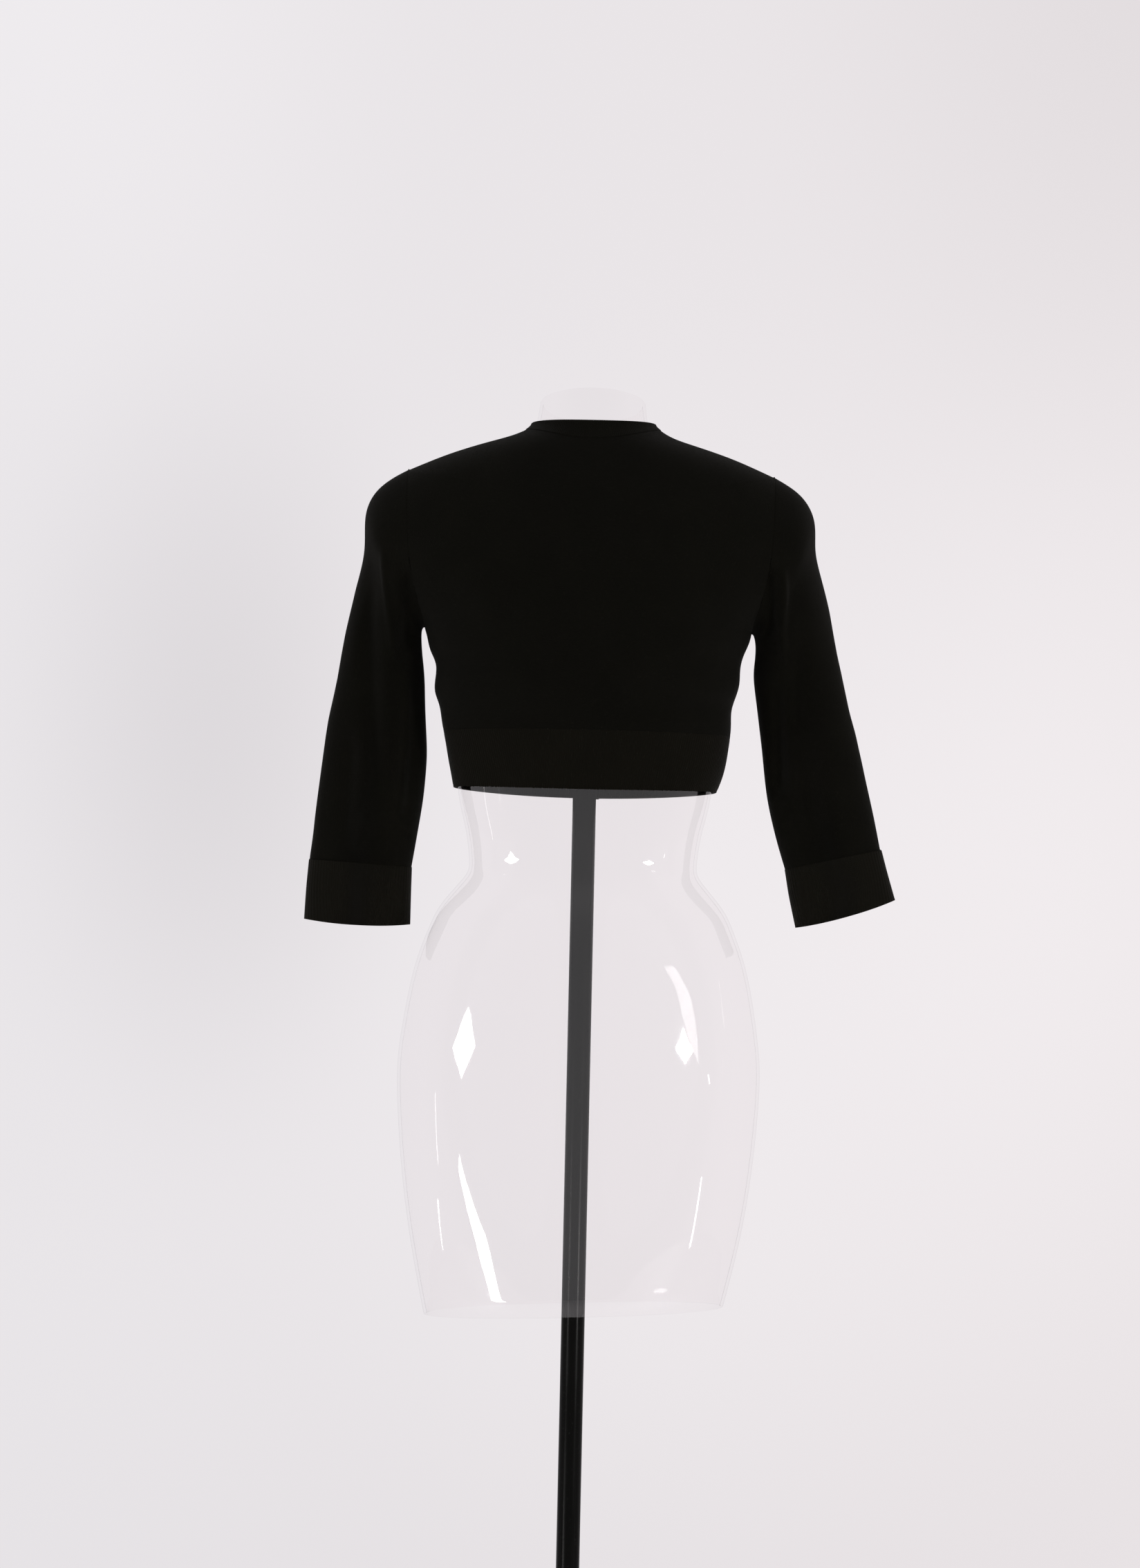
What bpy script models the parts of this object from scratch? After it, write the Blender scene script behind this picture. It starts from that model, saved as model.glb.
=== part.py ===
# A cropped button cardigan in black knit, worn by a clear limbless dress form on a pole.
# Metres, +Z up. The front faces -Y and the wearer's left is +X. The origin is the centre of
# the base's underside. Heights in the tables are millimetres above the form's lower rim.

import math

import bmesh
import bpy
import numpy as np
from mathutils import Matrix, Vector

MM = 0.001
FORM_FOOT = 0.650          # the form's lower rim above the floor
SEAM_GAP = 0.0003          # between pieces that meet at a seam
HALF_GAP = SEAM_GAP / 2

# The figure: a general dress form, a row for each section.
# squareness is the exponent of the section's curve, 2 for an ellipse.
# Columns: height, half_width, front, back, squareness
FIGURE_ROWS = (
    (0, 152.0, 115.0, 115.0, 2.2),
    (75, 168.3, 115.0, 117.0, 2.2),
    (150, 179.5, 113.0, 117.0, 2.2),
    (233, 185.7, 110.0, 114.5, 2.2),
    (285, 182.3, 107.0, 112.0, 2.2),
    (349, 171.1, 101.0, 107.0, 2.2),
    (390, 156.9, 94.5, 98.0, 2.2),
    (412, 147.0, 90.0, 91.0, 2.2),
    (433, 130.6, 85.5, 81.0, 2.2),
    (448, 119.0, 84.0, 76.5, 2.2),
    (463, 117.0, 84.5, 75.0, 2.2),
    (496, 121.6, 87.0, 76.0, 2.2),
    (532, 130.0, 92.0, 78.5, 2.2),
    (600, 136.5, 109.0, 87.0, 2.3),
    (655, 144.8, 127.0, 96.5, 2.4),
    (702, 150.0, 120.0, 101.0, 2.5),
    (720, 157.0, 115.0, 101.5, 2.5),
    (735, 168.0, 111.0, 101.0, 2.5),
    (750, 187.0, 107.0, 100.0, 2.45),
    (765, 206.0, 103.0, 98.0, 2.4),
    (780, 219.0, 99.0, 96.0, 2.35),
    (795, 225.6, 95.0, 93.0, 2.3),
    (810, 227.0, 90.5, 90.0, 2.3),
    (829, 221.0, 84.5, 85.0, 2.25),
    (851, 199.0, 77.5, 78.5, 2.2),
    (868, 164.0, 71.5, 72.5, 2.2),
    (884, 120.5, 66.0, 66.5, 2.1),
    (893, 89.0, 63.3, 62.0, 2.1),
    (900, 69.5, 61.5, 58.0, 2.05),
    (908, 60.0, 60.3, 54.8, 2.0),
    (918, 56.3, 59.5, 53.0, 2.0),
    (934, 54.0, 59.0, 52.0, 2.0),
)
NECK_RIM = 934             # height of the neck rim at its sides
RIM_TILT = 0.21            # the neck rim rises towards the back
RIM_TILT_FROM = 900        # the tilt fades out below this height
FOOT_SLOPE = -0.045        # the lower rim is cut a little off level
FOOT_SLOPE_TO = 120        # the slope fades out above this height
FOOT_RIM = 3.5             # height of the lower rim at its middle
SHELL_WALL = 3.0 * MM
SHELL_COLUMNS = 16

# The ease: how far the knit's outside stands off the figure, wall included.
# Columns: height, left, right, front, back
EASE_ROWS = (
    (530, 4.2, 4.3, 4.2, 4.2),
    (537, 4.2, 4.8, 4.2, 4.2),
    (547, 5.0, 7.8, 4.6, 4.6),
    (572, 8.0, 11.6, 7.8, 6.8),
    (587, 9.4, 12.3, 9.8, 8.6),
    (597, 10.6, 12.6, 10.5, 9.6),
    (608, 11.2, 11.6, 9.6, 10.2),
    (618, 11.4, 9.6, 8.2, 10.4),
    (628, 12.2, 9.6, 6.2, 10.0),
    (638, 14.3, 11.6, 4.8, 9.2),
    (647, 12.8, 12.9, 4.3, 8.4),
    (658, 8.9, 12.0, 4.0, 7.4),
    (668, 11.4, 11.4, 4.0, 6.6),
    (680, 15.4, 13.8, 4.0, 5.6),
    (690, 16.6, 17.0, 4.0, 4.8),
    (702, 18.0, 18.0, 4.0, 4.3),
    (735, 20.5, 20.5, 4.0, 4.0),
    (750, 17.0, 17.0, 4.0, 4.0),
    (765, 11.0, 11.0, 4.0, 4.0),
    (785, 5.6, 5.6, 4.0, 4.0),
    (800, 4.1, 4.1, 4.1, 4.1),
    (850, 3.5, 3.5, 3.5, 3.5),
    (890, 3.6, 3.6, 3.6, 3.6),
    (903, 4.1, 7.0, 4.1, 4.1),
    (934, 4.0, 6.0, 4.0, 4.0),
)
KNIT_WALL = 2.0 * MM
RIB_WALL = 2.6 * MM
RIB_LIFT = 0.6 * MM        # the rib is thicker and stands proud of the knit

# Seam heights at the sides and at the middle of the back and of the front
HEM_SIDE, HEM_BACK, HEM_FRONT = 536.5, 534.0, 531.5
WAIST_SEAM = 595.0
UNDERARM = 705.0
NECK_SEAM_SIDE, NECK_SEAM_BACK, NECK_SEAM_FRONT = 902.0, 891.0, 843.0
NECK_TOP_SIDE, NECK_TOP_BACK, NECK_TOP_FRONT = 910.0, 908.5, 860.0
SHOULDER_REACH = 188.5 * MM    # from the middle to the armhole seam on the shoulder

# The armhole seam seen from the back: shares of the way up and of the way out
# Columns: up, out
ARMHOLE_ROWS = ((0, 0), (0.03, 0.01), (0.08, 0.06), (0.17, 0.22), (0.29, 0.50), (0.43, 0.76),
                (0.57, 0.89), (0.8, 0.97), (1, 1))

# Rows and columns of the panels
BODY_ROWS_BELOW = 8        # from the waistband seam to the underarm
ARMHOLE_STEPS = 11         # from the underarm to the shoulder
SHOULDER_ROWS = 5          # from the shoulder point to the neck seam
BACK_COLUMNS = 20
FRONT_COLUMNS = 10
WAISTBAND_ROWS = 4
BEND_SHARE = 0.05          # how strongly columns gather where a row bends

# Button bands and buttons
BAND_HALF = 12.0 * MM
BAND_LAP = 3.0 * MM        # the upper band laps this far over the right front
BAND_COLUMNS = 3
BAND_STEP = 15.0           # row spacing along a band, in millimetres
LAP_CLEAR = 0.8 * MM       # between layers that lie on each other
UPPER_LIFT = RIB_WALL + LAP_CLEAR
BUTTON_SEAT = 0.5 * MM
BUTTON_HEIGHTS = (545.0, 597.0, 649.0, 701.0, 752.0, 802.0, 850.5)
BUTTON_RADIUS = 6.2 * MM
BUTTON_THICK = 2.6 * MM
BUTTON_SIDES = 12
NECKBAND_FRONT_COLUMNS = 14
NECKBAND_BACK_COLUMNS = 20

# Sleeves: each section is given by its point next to the body and its outer point, seen from
# the back, by half its depth, by how far it is an oval (0 is the armhole's own shape), and by
# how far forward its middle lies.
SLEEVE_COLUMNS = ("inner_x", "inner_z", "outer_x", "outer_z", "half_depth", "oval", "middle_y")
SLEEVE_LEFT_ROWS = (
    (170.2, 699.0, 205.0, 852.0, 66, 0.10, -1.5),
    (170.9, 697.2, 222.0, 837.0, 63.5, 0.28, -2),
    (171.2, 694.8, 231.5, 814.0, 60.5, 0.48, -2.5),
    (171.3, 691.6, 231.8, 786.0, 57, 0.68, -3.5),
    (171.2, 687.0, 235.0, 761.0, 53.5, 0.86, -5),
    (170.8, 680.5, 242.0, 731.0, 49, 1, -6),
    (170.0, 671.5, 249.5, 698.0, 45, 1, -8),
    (167.4, 648.0, 256.2, 660.0, 40, 1, -10),
    (165.6, 610.0, 263.4, 618.0, 36, 1, -11),
    (163.2, 570.0, 269.3, 576.0, 33, 1, -12),
    (165.4, 530.0, 274.2, 534.5, 30, 1, -13),
    (171.0, 489.0, 278.6, 494.5, 28, 1, -14),
    (176.6, 453.0, 281.6, 459.0, 27, 1, -15),
)
CUFF_LEFT_ROWS = (
    (176.6, 452.6, 281.8, 458.6, 27, 1, -15),
    (176.9, 423.0, 284.0, 428.0, 26, 1, -15),
    (177.0, 394.3, 285.4, 397.6, 25, 1, -16),
)
SLEEVE_RIGHT_ROWS = (
    (170.2, 699.2, 207.0, 850.5, 66, 0.10, -1.5),
    (170.9, 697.6, 221.5, 836.8, 63.5, 0.28, -2),
    (171.6, 695.4, 230.8, 816.0, 60.5, 0.48, -2.5),
    (172.2, 692.6, 232.0, 791.0, 57, 0.68, -3.5),
    (172.7, 688.8, 236.2, 769.0, 53.5, 0.86, -5),
    (172.9, 683.5, 245.0, 738.0, 49, 1, -6),
    (172.6, 675.5, 253.0, 705.0, 45, 1, -8),
    (171.6, 658.0, 262.0, 666.0, 40, 1, -10),
    (176.4, 620.0, 272.4, 623.0, 36, 1, -11),
    (181.9, 580.0, 282.0, 583.0, 33, 1, -12),
    (187.0, 539.0, 291.6, 545.0, 30, 1, -13),
    (196.2, 498.0, 300.0, 510.5, 28, 1, -14),
    (208.2, 459.0, 306.4, 481.5, 27, 1, -15),
)
CUFF_RIGHT_ROWS = (
    (208.4, 458.6, 306.6, 481.1, 27, 1, -15),
    (213.8, 429.0, 313.8, 455.5, 26, 1, -15),
    (220.6, 399.5, 321.6, 430.0, 25, 1, -16),
)
SLEEVE_SQUARENESS = 2.25
SLEEVE_LOWER_RINGS = 10
ARM_GAP = 0.6 * MM         # between the armhole's edge and the sleeve
CUFF_BOW = 3.5             # the cuff's edge hangs this much lower between its sides

# Soft folds of the sleeves: where a fold starts and ends (section numbers), its place round
# the sleeve in degrees from the outer side through the back, its half-width, and its depth.
# Columns: start, end, around, half_width, depth
SLEEVE_LEFT_FOLDS = (
    (3.5, 10.0, 97, 17, 2.6),
    (4.0, 10.5, 70, 20, -2.4),
    (4.0, 11.0, 126, 20, -2.6),
    (8.0, 14.0, 52, 26, -2.6),
    (4.5, 9.5, 250, 22, -2.4),
    (7.5, 13.5, 292, 24, -2.2),
)
SLEEVE_RIGHT_FOLDS = (
    (3.5, 8.5, 106, 13, 2.6),
    (4.0, 8.0, 131, 14, -2.4),
    (7.0, 10.5, 103, 20, -2.0),
    (8.5, 13.0, 138, 20, -2.6),
    (5.0, 10.0, 240, 22, -2.4),
    (8.5, 13.5, 285, 24, -2.2),
)

# Stand
POLE_RADIUS = 12.0 * MM
BASE_RADIUS = 160.0 * MM
BASE_THICK = 9.0 * MM
BASE_EDGE = 2.5 * MM
BOSS_RADIUS = 21.0 * MM
BOSS_TOP = 45.0 * MM
SOCKET_DEPTH = 30.0 * MM
TURN_SIDES = 32
BRACKET_HEIGHT = 640.0     # top of the collar, under the cross bar
COLLAR_RADIUS = 19.0 * MM
COLLAR_LONG = 34.0 * MM
BAR_THICK = 5.0 * MM
BAR_HALF_WIDTH = 14.0 * MM
TAB_TOP = 682.0
TAB_SEAT = 1.3 * MM

BLACK_KNIT = (0.012, 0.011, 0.010, 1)
BLACK_RIB = (0.016, 0.015, 0.013, 1)
BLACK_BUTTON = (0.010, 0.010, 0.011, 1)
BLACK_METAL = (0.015, 0.015, 0.015, 1)
GREY_STEEL = (0.35, 0.35, 0.36, 1)
CLEAR = (0.93, 0.94, 0.95, 1)


class Table:
    """Rows of sizes, read at any place by a smooth curve that never overshoots a row."""

    def __init__(self, rows):
        data = np.array(rows, float)
        self.at = data[:, 0]
        self.values = data[:, 1:]
        self.slopes = np.zeros(self.values.shape)
        step = np.diff(self.at)[:, None]
        rise = np.diff(self.values, axis=0) / step
        self.slopes[0], self.slopes[-1] = rise[0], rise[-1]
        before, after = 2 * step[1:] + step[:-1], step[1:] + 2 * step[:-1]
        same_way = rise[:-1] * rise[1:] > 0
        safe = np.where(same_way, rise[:-1], 1), np.where(same_way, rise[1:], 1)
        mean = (before + after) / (before / safe[0] + after / safe[1])
        self.slopes[1:-1] = np.where(same_way, mean, 0)

    def read(self, place):
        """One value, or array of values, for each column after the first."""
        place = np.clip(np.asarray(place, float), self.at[0], self.at[-1])
        i = np.clip(np.searchsorted(self.at, place, side="right") - 1, 0, len(self.at) - 2)
        step = (self.at[i + 1] - self.at[i])[..., None]
        t = (place - self.at[i])[..., None] / step
        stay = 2 * t**3 - 3 * t**2 + 1
        leave, arrive = (t**3 - 2 * t**2 + t) * step, (t**3 - t**2) * step
        made = (stay * self.values[i] + (1 - stay) * self.values[i + 1]
                + leave * self.slopes[i] + arrive * self.slopes[i + 1])
        return [made[..., k] for k in range(made.shape[-1])]


FIGURE = Table(FIGURE_ROWS)
EASE = Table(EASE_ROWS)
ARMHOLE = Table(ARMHOLE_ROWS)


def smooth_share(t):
    """0 to 1 with a level start and end."""
    t = np.clip(t, 0, 1)
    return t * t * (3 - 2 * t)


def figure_point(turn, height):
    """The form's outside. turn runs from the wearer's left (0) through the back (90 degrees)."""
    turn, height = np.broadcast_arrays(np.asarray(turn, float), np.asarray(height, float))
    along, across = np.cos(turn), np.sin(turn)
    width, front, back, power = FIGURE.read(height)
    depth = np.where(across >= 0, back, front)
    reach = ((np.abs(along) / width) ** power + (np.abs(across) / depth) ** power) ** (-1 / power)
    x, y = reach * along, reach * across
    tilt = RIM_TILT * smooth_share((height - RIM_TILT_FROM) / (NECK_RIM - RIM_TILT_FROM))
    slope = FOOT_SLOPE * (1 - smooth_share(height / FOOT_SLOPE_TO))
    z = height + tilt * y + slope * x
    return np.stack([x * MM, y * MM, FORM_FOOT + z * MM], axis=-1)


def outward(surface, turn, height):
    """Unit normals of a surface given over turn and height."""
    d_turn, d_height = 0.0005, 0.05
    round_it = surface(turn + d_turn, height) - surface(turn - d_turn, height)
    up_it = surface(turn, height + d_height) - surface(turn, height - d_height)
    normal = np.cross(round_it, up_it)
    return normal / np.linalg.norm(normal, axis=-1, keepdims=True)


def knit_point(turn, height, lift=0.0):
    """The knit's outside: the figure moved out by the ease, and by lift where pieces lie on it."""
    along, across = np.cos(turn), np.sin(turn)
    left, right, front, back = EASE.read(height)
    side = np.where(along >= 0, left, right)
    face = np.where(across >= 0, back, front)
    stand_off = (side * along**2 + face * across**2) * MM + lift
    return figure_point(turn, height) + outward(figure_point, turn, height) * stand_off[..., None]


def turn_at(x, height, face):
    """The turn at which the knit reaches x at this height, on the back (1) or the front (-1)."""
    x, height = np.broadcast_arrays(np.asarray(x, float), np.asarray(height, float))
    low, high = np.zeros(x.shape), np.full(x.shape, math.pi)
    for _ in range(26):
        middle = (low + high) / 2
        too_far = knit_point(face * middle, height)[..., 0] > x
        low, high = np.where(too_far, middle, low), np.where(too_far, high, middle)
    return face * (low + high) / 2


def side_reach(side, height):
    """How far the knit reaches out at the side seam or along the shoulder ridge."""
    return abs(knit_point(0.0 if side > 0 else math.pi, np.asarray(height, float))[0])


def shoulder_height(side):
    """The height on the shoulder ridge at which the armhole seam crosses it."""
    low, high = 830.0, 890.0
    for _ in range(40):
        middle = (low + high) / 2
        if side_reach(side, middle) > SHOULDER_REACH:
            low = middle
        else:
            high = middle
    return low


def armhole_reach(side, height):
    """How far out the armhole seam lies at a height between the underarm and the shoulder."""
    up = (height - UNDERARM) / (shoulder_height(side) - UNDERARM)
    start = side_reach(side, UNDERARM)
    return start + (SHOULDER_REACH - start) * float(ARMHOLE.read(up)[0])


def armhole_heights(side):
    top = shoulder_height(side)
    steps = [(1 - math.cos(math.pi * k / ARMHOLE_STEPS)) / 2 for k in range(ARMHOLE_STEPS + 1)]
    return [UNDERARM + (top - UNDERARM) * step for step in steps]


def spread(points, count):
    """Shares along a line of points for count even steps, closer where the line bends."""
    legs = np.diff(points, axis=0)
    length = np.linalg.norm(legs, axis=1)
    heading = legs / np.maximum(length, 1e-9)[:, None]
    bend = np.zeros(len(length))
    bend[1:] = np.arccos(np.clip((heading[1:] * heading[:-1]).sum(axis=1), -1, 1))
    measure = np.concatenate([[0], np.cumsum(length + BEND_SHARE * bend)])
    return np.interp(np.linspace(0, measure[-1], count + 1), measure, np.linspace(0, 1, len(points)))


def row_route(face, side, side_height, middle_height, reach, end_x):
    """A row across one side of the body: share -> (x, height), from the side towards end_x."""
    last = math.acos(max(-1.0, min(1.0, end_x / reach))) / (math.pi / 2)

    def route(share):
        way = np.asarray(share) * last
        x = side * reach * np.cos(math.pi / 2 * way)
        height = side_height + (middle_height - side_height) * smooth_share(way)
        return x, height

    return route


def knit_at(x, height, face, lift=0.0):
    """Points on the knit's outside and their normals, at x and height on one face."""
    turn = turn_at(x, height, face)
    surface = lambda a, b: knit_point(a, b, lift)
    return surface(turn, height), outward(surface, turn, height)


def row_points(route, face, count, lift=0.0, start_gap=0.0, end_gap=0.0):
    """Points and normals of one row, spread along its route."""
    dense = np.linspace(0, 1, 81)
    line, _ = knit_at(*route(dense), face)
    length = np.linalg.norm(np.diff(line, axis=0), axis=1).sum()
    shares = spread(line, count)
    arc = np.concatenate([[0], np.cumsum(np.linalg.norm(np.diff(line, axis=0), axis=1))])
    shares[0] = np.interp(start_gap, arc, dense)
    shares[-1] = np.interp(length - end_gap, arc, dense)
    return knit_at(*route(shares), face, lift)


def across_back(side_heights, middle_height, reaches, count, lift=0.0, edge_gap=HALF_GAP):
    """A row over the whole back, from the wearer's left to the right."""
    halves = []
    for side in (1, -1):
        k = 0 if side > 0 else 1
        route = row_route(1, side, side_heights[k], middle_height, reaches[k], 0.0)
        halves.append(row_points(route, 1, count // 2, lift, start_gap=edge_gap))
    left, right = halves
    points = np.concatenate([left[0], right[0][-2::-1]])
    normals = np.concatenate([left[1], right[1][-2::-1]])
    return points, normals


def material(name, colour, roughness, metallic=0.0, clear=0.0):
    made = bpy.data.materials.new(name)
    made.use_nodes = True
    shader = made.node_tree.nodes["Principled BSDF"]
    shader.inputs["Base Color"].default_value = colour
    shader.inputs["Roughness"].default_value = roughness
    shader.inputs["Metallic"].default_value = metallic
    shader.inputs["Transmission Weight"].default_value = clear
    return made


def add_object(name, mesh, finish):
    made = bpy.data.objects.new(name, mesh)
    bpy.context.scene.collection.objects.link(made)
    if not mesh.materials:
        mesh.materials.append(material(name, *finish))
    return made


def mesh_from(bm, name, sharp=40):
    mesh = bpy.data.meshes.new(name)
    bmesh.ops.recalc_face_normals(bm, faces=bm.faces)
    bm.to_mesh(mesh)
    bm.free()
    mesh.shade_smooth()
    mesh.set_sharp_from_angle(angle=math.radians(sharp))
    return mesh


def wall(name, rows, thick, finish, closed=False):
    """A wall of cloth: rows of outer points, and inner points at one thickness behind them."""
    bm = bmesh.new()
    outer = [[bm.verts.new(p) for p in points] for points, _ in rows]
    inner = [[bm.verts.new(p - n * thick) for p, n in zip(points, normals)] for points, normals in rows]
    count = len(outer[0])
    last = count if closed else count - 1
    for j in range(len(rows) - 1):
        for i in range(last):
            k = (i + 1) % count
            bm.faces.new((outer[j][i], outer[j][k], outer[j + 1][k], outer[j + 1][i]))
            bm.faces.new((inner[j][i], inner[j + 1][i], inner[j + 1][k], inner[j][k]))
    for j in (0, len(rows) - 1):
        for i in range(last):
            k = (i + 1) % count
            bm.faces.new((outer[j][i], outer[j][k], inner[j][k], inner[j][i]))
    if not closed:
        for i in (0, count - 1):
            for j in range(len(rows) - 1):
                bm.faces.new((outer[j][i], outer[j + 1][i], inner[j + 1][i], inner[j][i]))
    bmesh.ops.triangulate(bm, faces=bm.faces, quad_method="SHORT_EDGE")
    return add_object(name, mesh_from(bm, name), finish)


KNIT = (BLACK_KNIT, 0.85)
RIB = (BLACK_RIB, 0.85)


def body_levels(middle_top):
    """The rows of a body panel: side heights left and right, middle height, reaches."""
    top = NECK_SEAM_SIDE - SEAM_GAP / MM
    bottom = WAIST_SEAM + HALF_GAP / MM
    levels = []
    for k in range(BODY_ROWS_BELOW):
        height = bottom + (UNDERARM - bottom) * k / BODY_ROWS_BELOW
        levels.append([(height, side_reach(s, height)) for s in (1, -1)])
    arms = [armhole_heights(s) for s in (1, -1)]
    for k in range(ARMHOLE_STEPS + 1):
        levels.append([(arms[i][k], armhole_reach(s, arms[i][k])) for i, s in enumerate((1, -1))])
    for k in range(1, SHOULDER_ROWS + 1):
        pair = []
        for i, s in enumerate((1, -1)):
            height = arms[i][-1] + (top - arms[i][-1]) * (k / SHOULDER_ROWS) ** 0.8
            pair.append((height, side_reach(s, height)))
        levels.append(pair)
    rows = []
    for number, (left, right) in enumerate(levels):
        rise = ((left[0] + right[0]) / 2 - bottom) / (top - bottom)
        share = (rise + number / (len(levels) - 1)) / 2
        middle = bottom + (middle_top - SEAM_GAP / MM - bottom) * share
        rows.append(((left[0], right[0]), (left[1], right[1]), middle))
    return rows


def make_back():
    rows = []
    for heights, reaches, middle in body_levels(NECK_SEAM_BACK):
        rows.append(across_back(heights, middle, reaches, BACK_COLUMNS))
    wall("back", rows, KNIT_WALL, KNIT)


def make_fronts():
    for k, (name, side) in enumerate((("front_left", 1), ("front_right", -1))):
        rows = []
        for heights, reaches, middle in body_levels(NECK_SEAM_FRONT):
            route = row_route(-1, side, heights[k], middle, reaches[k], BAND_HALF + HALF_GAP)
            rows.append(row_points(route, -1, FRONT_COLUMNS, start_gap=HALF_GAP))
        wall(name, rows, KNIT_WALL, KNIT)


def make_waistband():
    top = WAIST_SEAM - HALF_GAP / MM
    back, fronts = [], ([], [])
    for k in range(WAISTBAND_ROWS + 1):
        share = k / WAISTBAND_ROWS
        side_height = HEM_SIDE + (top - HEM_SIDE) * share
        reaches = [side_reach(s, side_height) for s in (1, -1)]
        middle = HEM_BACK + (top - HEM_BACK) * share
        back.append(across_back((side_height, side_height), middle, reaches, BACK_COLUMNS))
        middle = HEM_FRONT + (top - HEM_FRONT) * share
        for i, side in enumerate((1, -1)):
            route = row_route(-1, side, side_height, middle, reaches[i], BAND_HALF + HALF_GAP)
            fronts[i].append(row_points(route, -1, FRONT_COLUMNS, start_gap=HALF_GAP))
    wall("waistband_back", back, RIB_WALL, RIB)
    wall("waistband_front_left", fronts[0], RIB_WALL, RIB)
    wall("waistband_front_right", fronts[1], RIB_WALL, RIB)


def make_button_bands():
    top = NECK_SEAM_FRONT - SEAM_GAP / MM
    count = round((top - HEM_FRONT) / BAND_STEP)
    heights = np.linspace(HEM_FRONT, top, count + 1)
    under = np.linspace(BAND_HALF - HALF_GAP, -BAND_HALF + HALF_GAP, BAND_COLUMNS + 1)
    upper = np.linspace(BAND_HALF, -BAND_HALF - BAND_LAP, BAND_COLUMNS + 1)
    wall("button_band_left", [knit_at(under, h, -1) for h in heights], RIB_WALL, RIB)
    rows = [knit_at(upper, h, -1, UPPER_LIFT) for h in heights]
    wall("button_band_right", rows, RIB_WALL, RIB)


def make_neckband():
    """One strip round the neck. Its left end lies under, and its right end steps up and over."""
    rows = []
    low = (NECK_SEAM_SIDE + HALF_GAP / MM, NECK_SEAM_BACK, NECK_SEAM_FRONT)
    high = (NECK_TOP_SIDE, NECK_TOP_BACK, NECK_TOP_FRONT)
    lap_x = np.linspace(-BAND_HALF - BAND_LAP, BAND_HALF, BAND_COLUMNS + 1)
    for share in (0, 0.5, 1):
        side_height, back_middle, front_middle = [a + (b - a) * share for a, b in zip(low, high)]
        reaches = [side_reach(s, side_height) for s in (1, -1)]
        route = row_route(-1, 1, side_height, front_middle, reaches[0], -BAND_HALF)
        left = row_points(route, -1, NECKBAND_FRONT_COLUMNS, RIB_LIFT)
        heights = (side_height, side_height)
        back = across_back(heights, back_middle, reaches, NECKBAND_BACK_COLUMNS, RIB_LIFT, 0.0)
        route = row_route(-1, -1, side_height, front_middle, reaches[1], BAND_HALF + 3 * BAND_LAP)
        right = row_points(route, -1, NECKBAND_FRONT_COLUMNS - 3, RIB_LIFT)
        way = np.arccos(-lap_x / reaches[1]) / (math.pi / 2)
        lap_height = side_height + (front_middle - side_height) * smooth_share(way)
        lap = knit_at(lap_x, lap_height, -1, RIB_LIFT + UPPER_LIFT)
        points = np.concatenate([left[0][::-1], back[0][1:-1], right[0], lap[0]])
        normals = np.concatenate([left[1][::-1], back[1][1:-1], right[1], lap[1]])
        rows.append((points, normals))
    wall("neckband", rows, RIB_WALL, RIB)


def armhole_ring(side):
    """The armhole's edge as a ring: the shoulder first, then down the back and up the front."""
    heights = armhole_heights(side)
    reaches = [armhole_reach(side, h) for h in heights]
    ring = []
    for face, order in ((1, range(ARMHOLE_STEPS, -1, -1)), (-1, range(1, ARMHOLE_STEPS))):
        for k in order:
            if k in (0, ARMHOLE_STEPS):
                turn = 0.0 if side > 0 else math.pi
            else:
                turn = float(turn_at(side * reaches[k], heights[k], face))
            ring.append(knit_point(turn, np.asarray(heights[k])))
    ring = np.array(ring)
    ring[:, 0] += side * ARM_GAP
    return ring


def sleeve_frame(side, section):
    """Middle, direction from the inner to the outer point, and direction along the sleeve."""
    inner = Vector((side * section["inner_x"], 0, section["inner_z"])) * MM
    outer = Vector((side * section["outer_x"], 0, section["outer_z"])) * MM
    inner.z += FORM_FOOT
    outer.z += FORM_FOOT
    middle = (inner + outer) / 2
    middle.y = section["middle_y"] * MM
    outwards = (outer - inner).normalized()
    onwards = Vector((0, 1, 0)).cross(outwards) * side
    return np.array(middle), np.array(outwards), np.array(onwards), (outer - inner).length / 2


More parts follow.
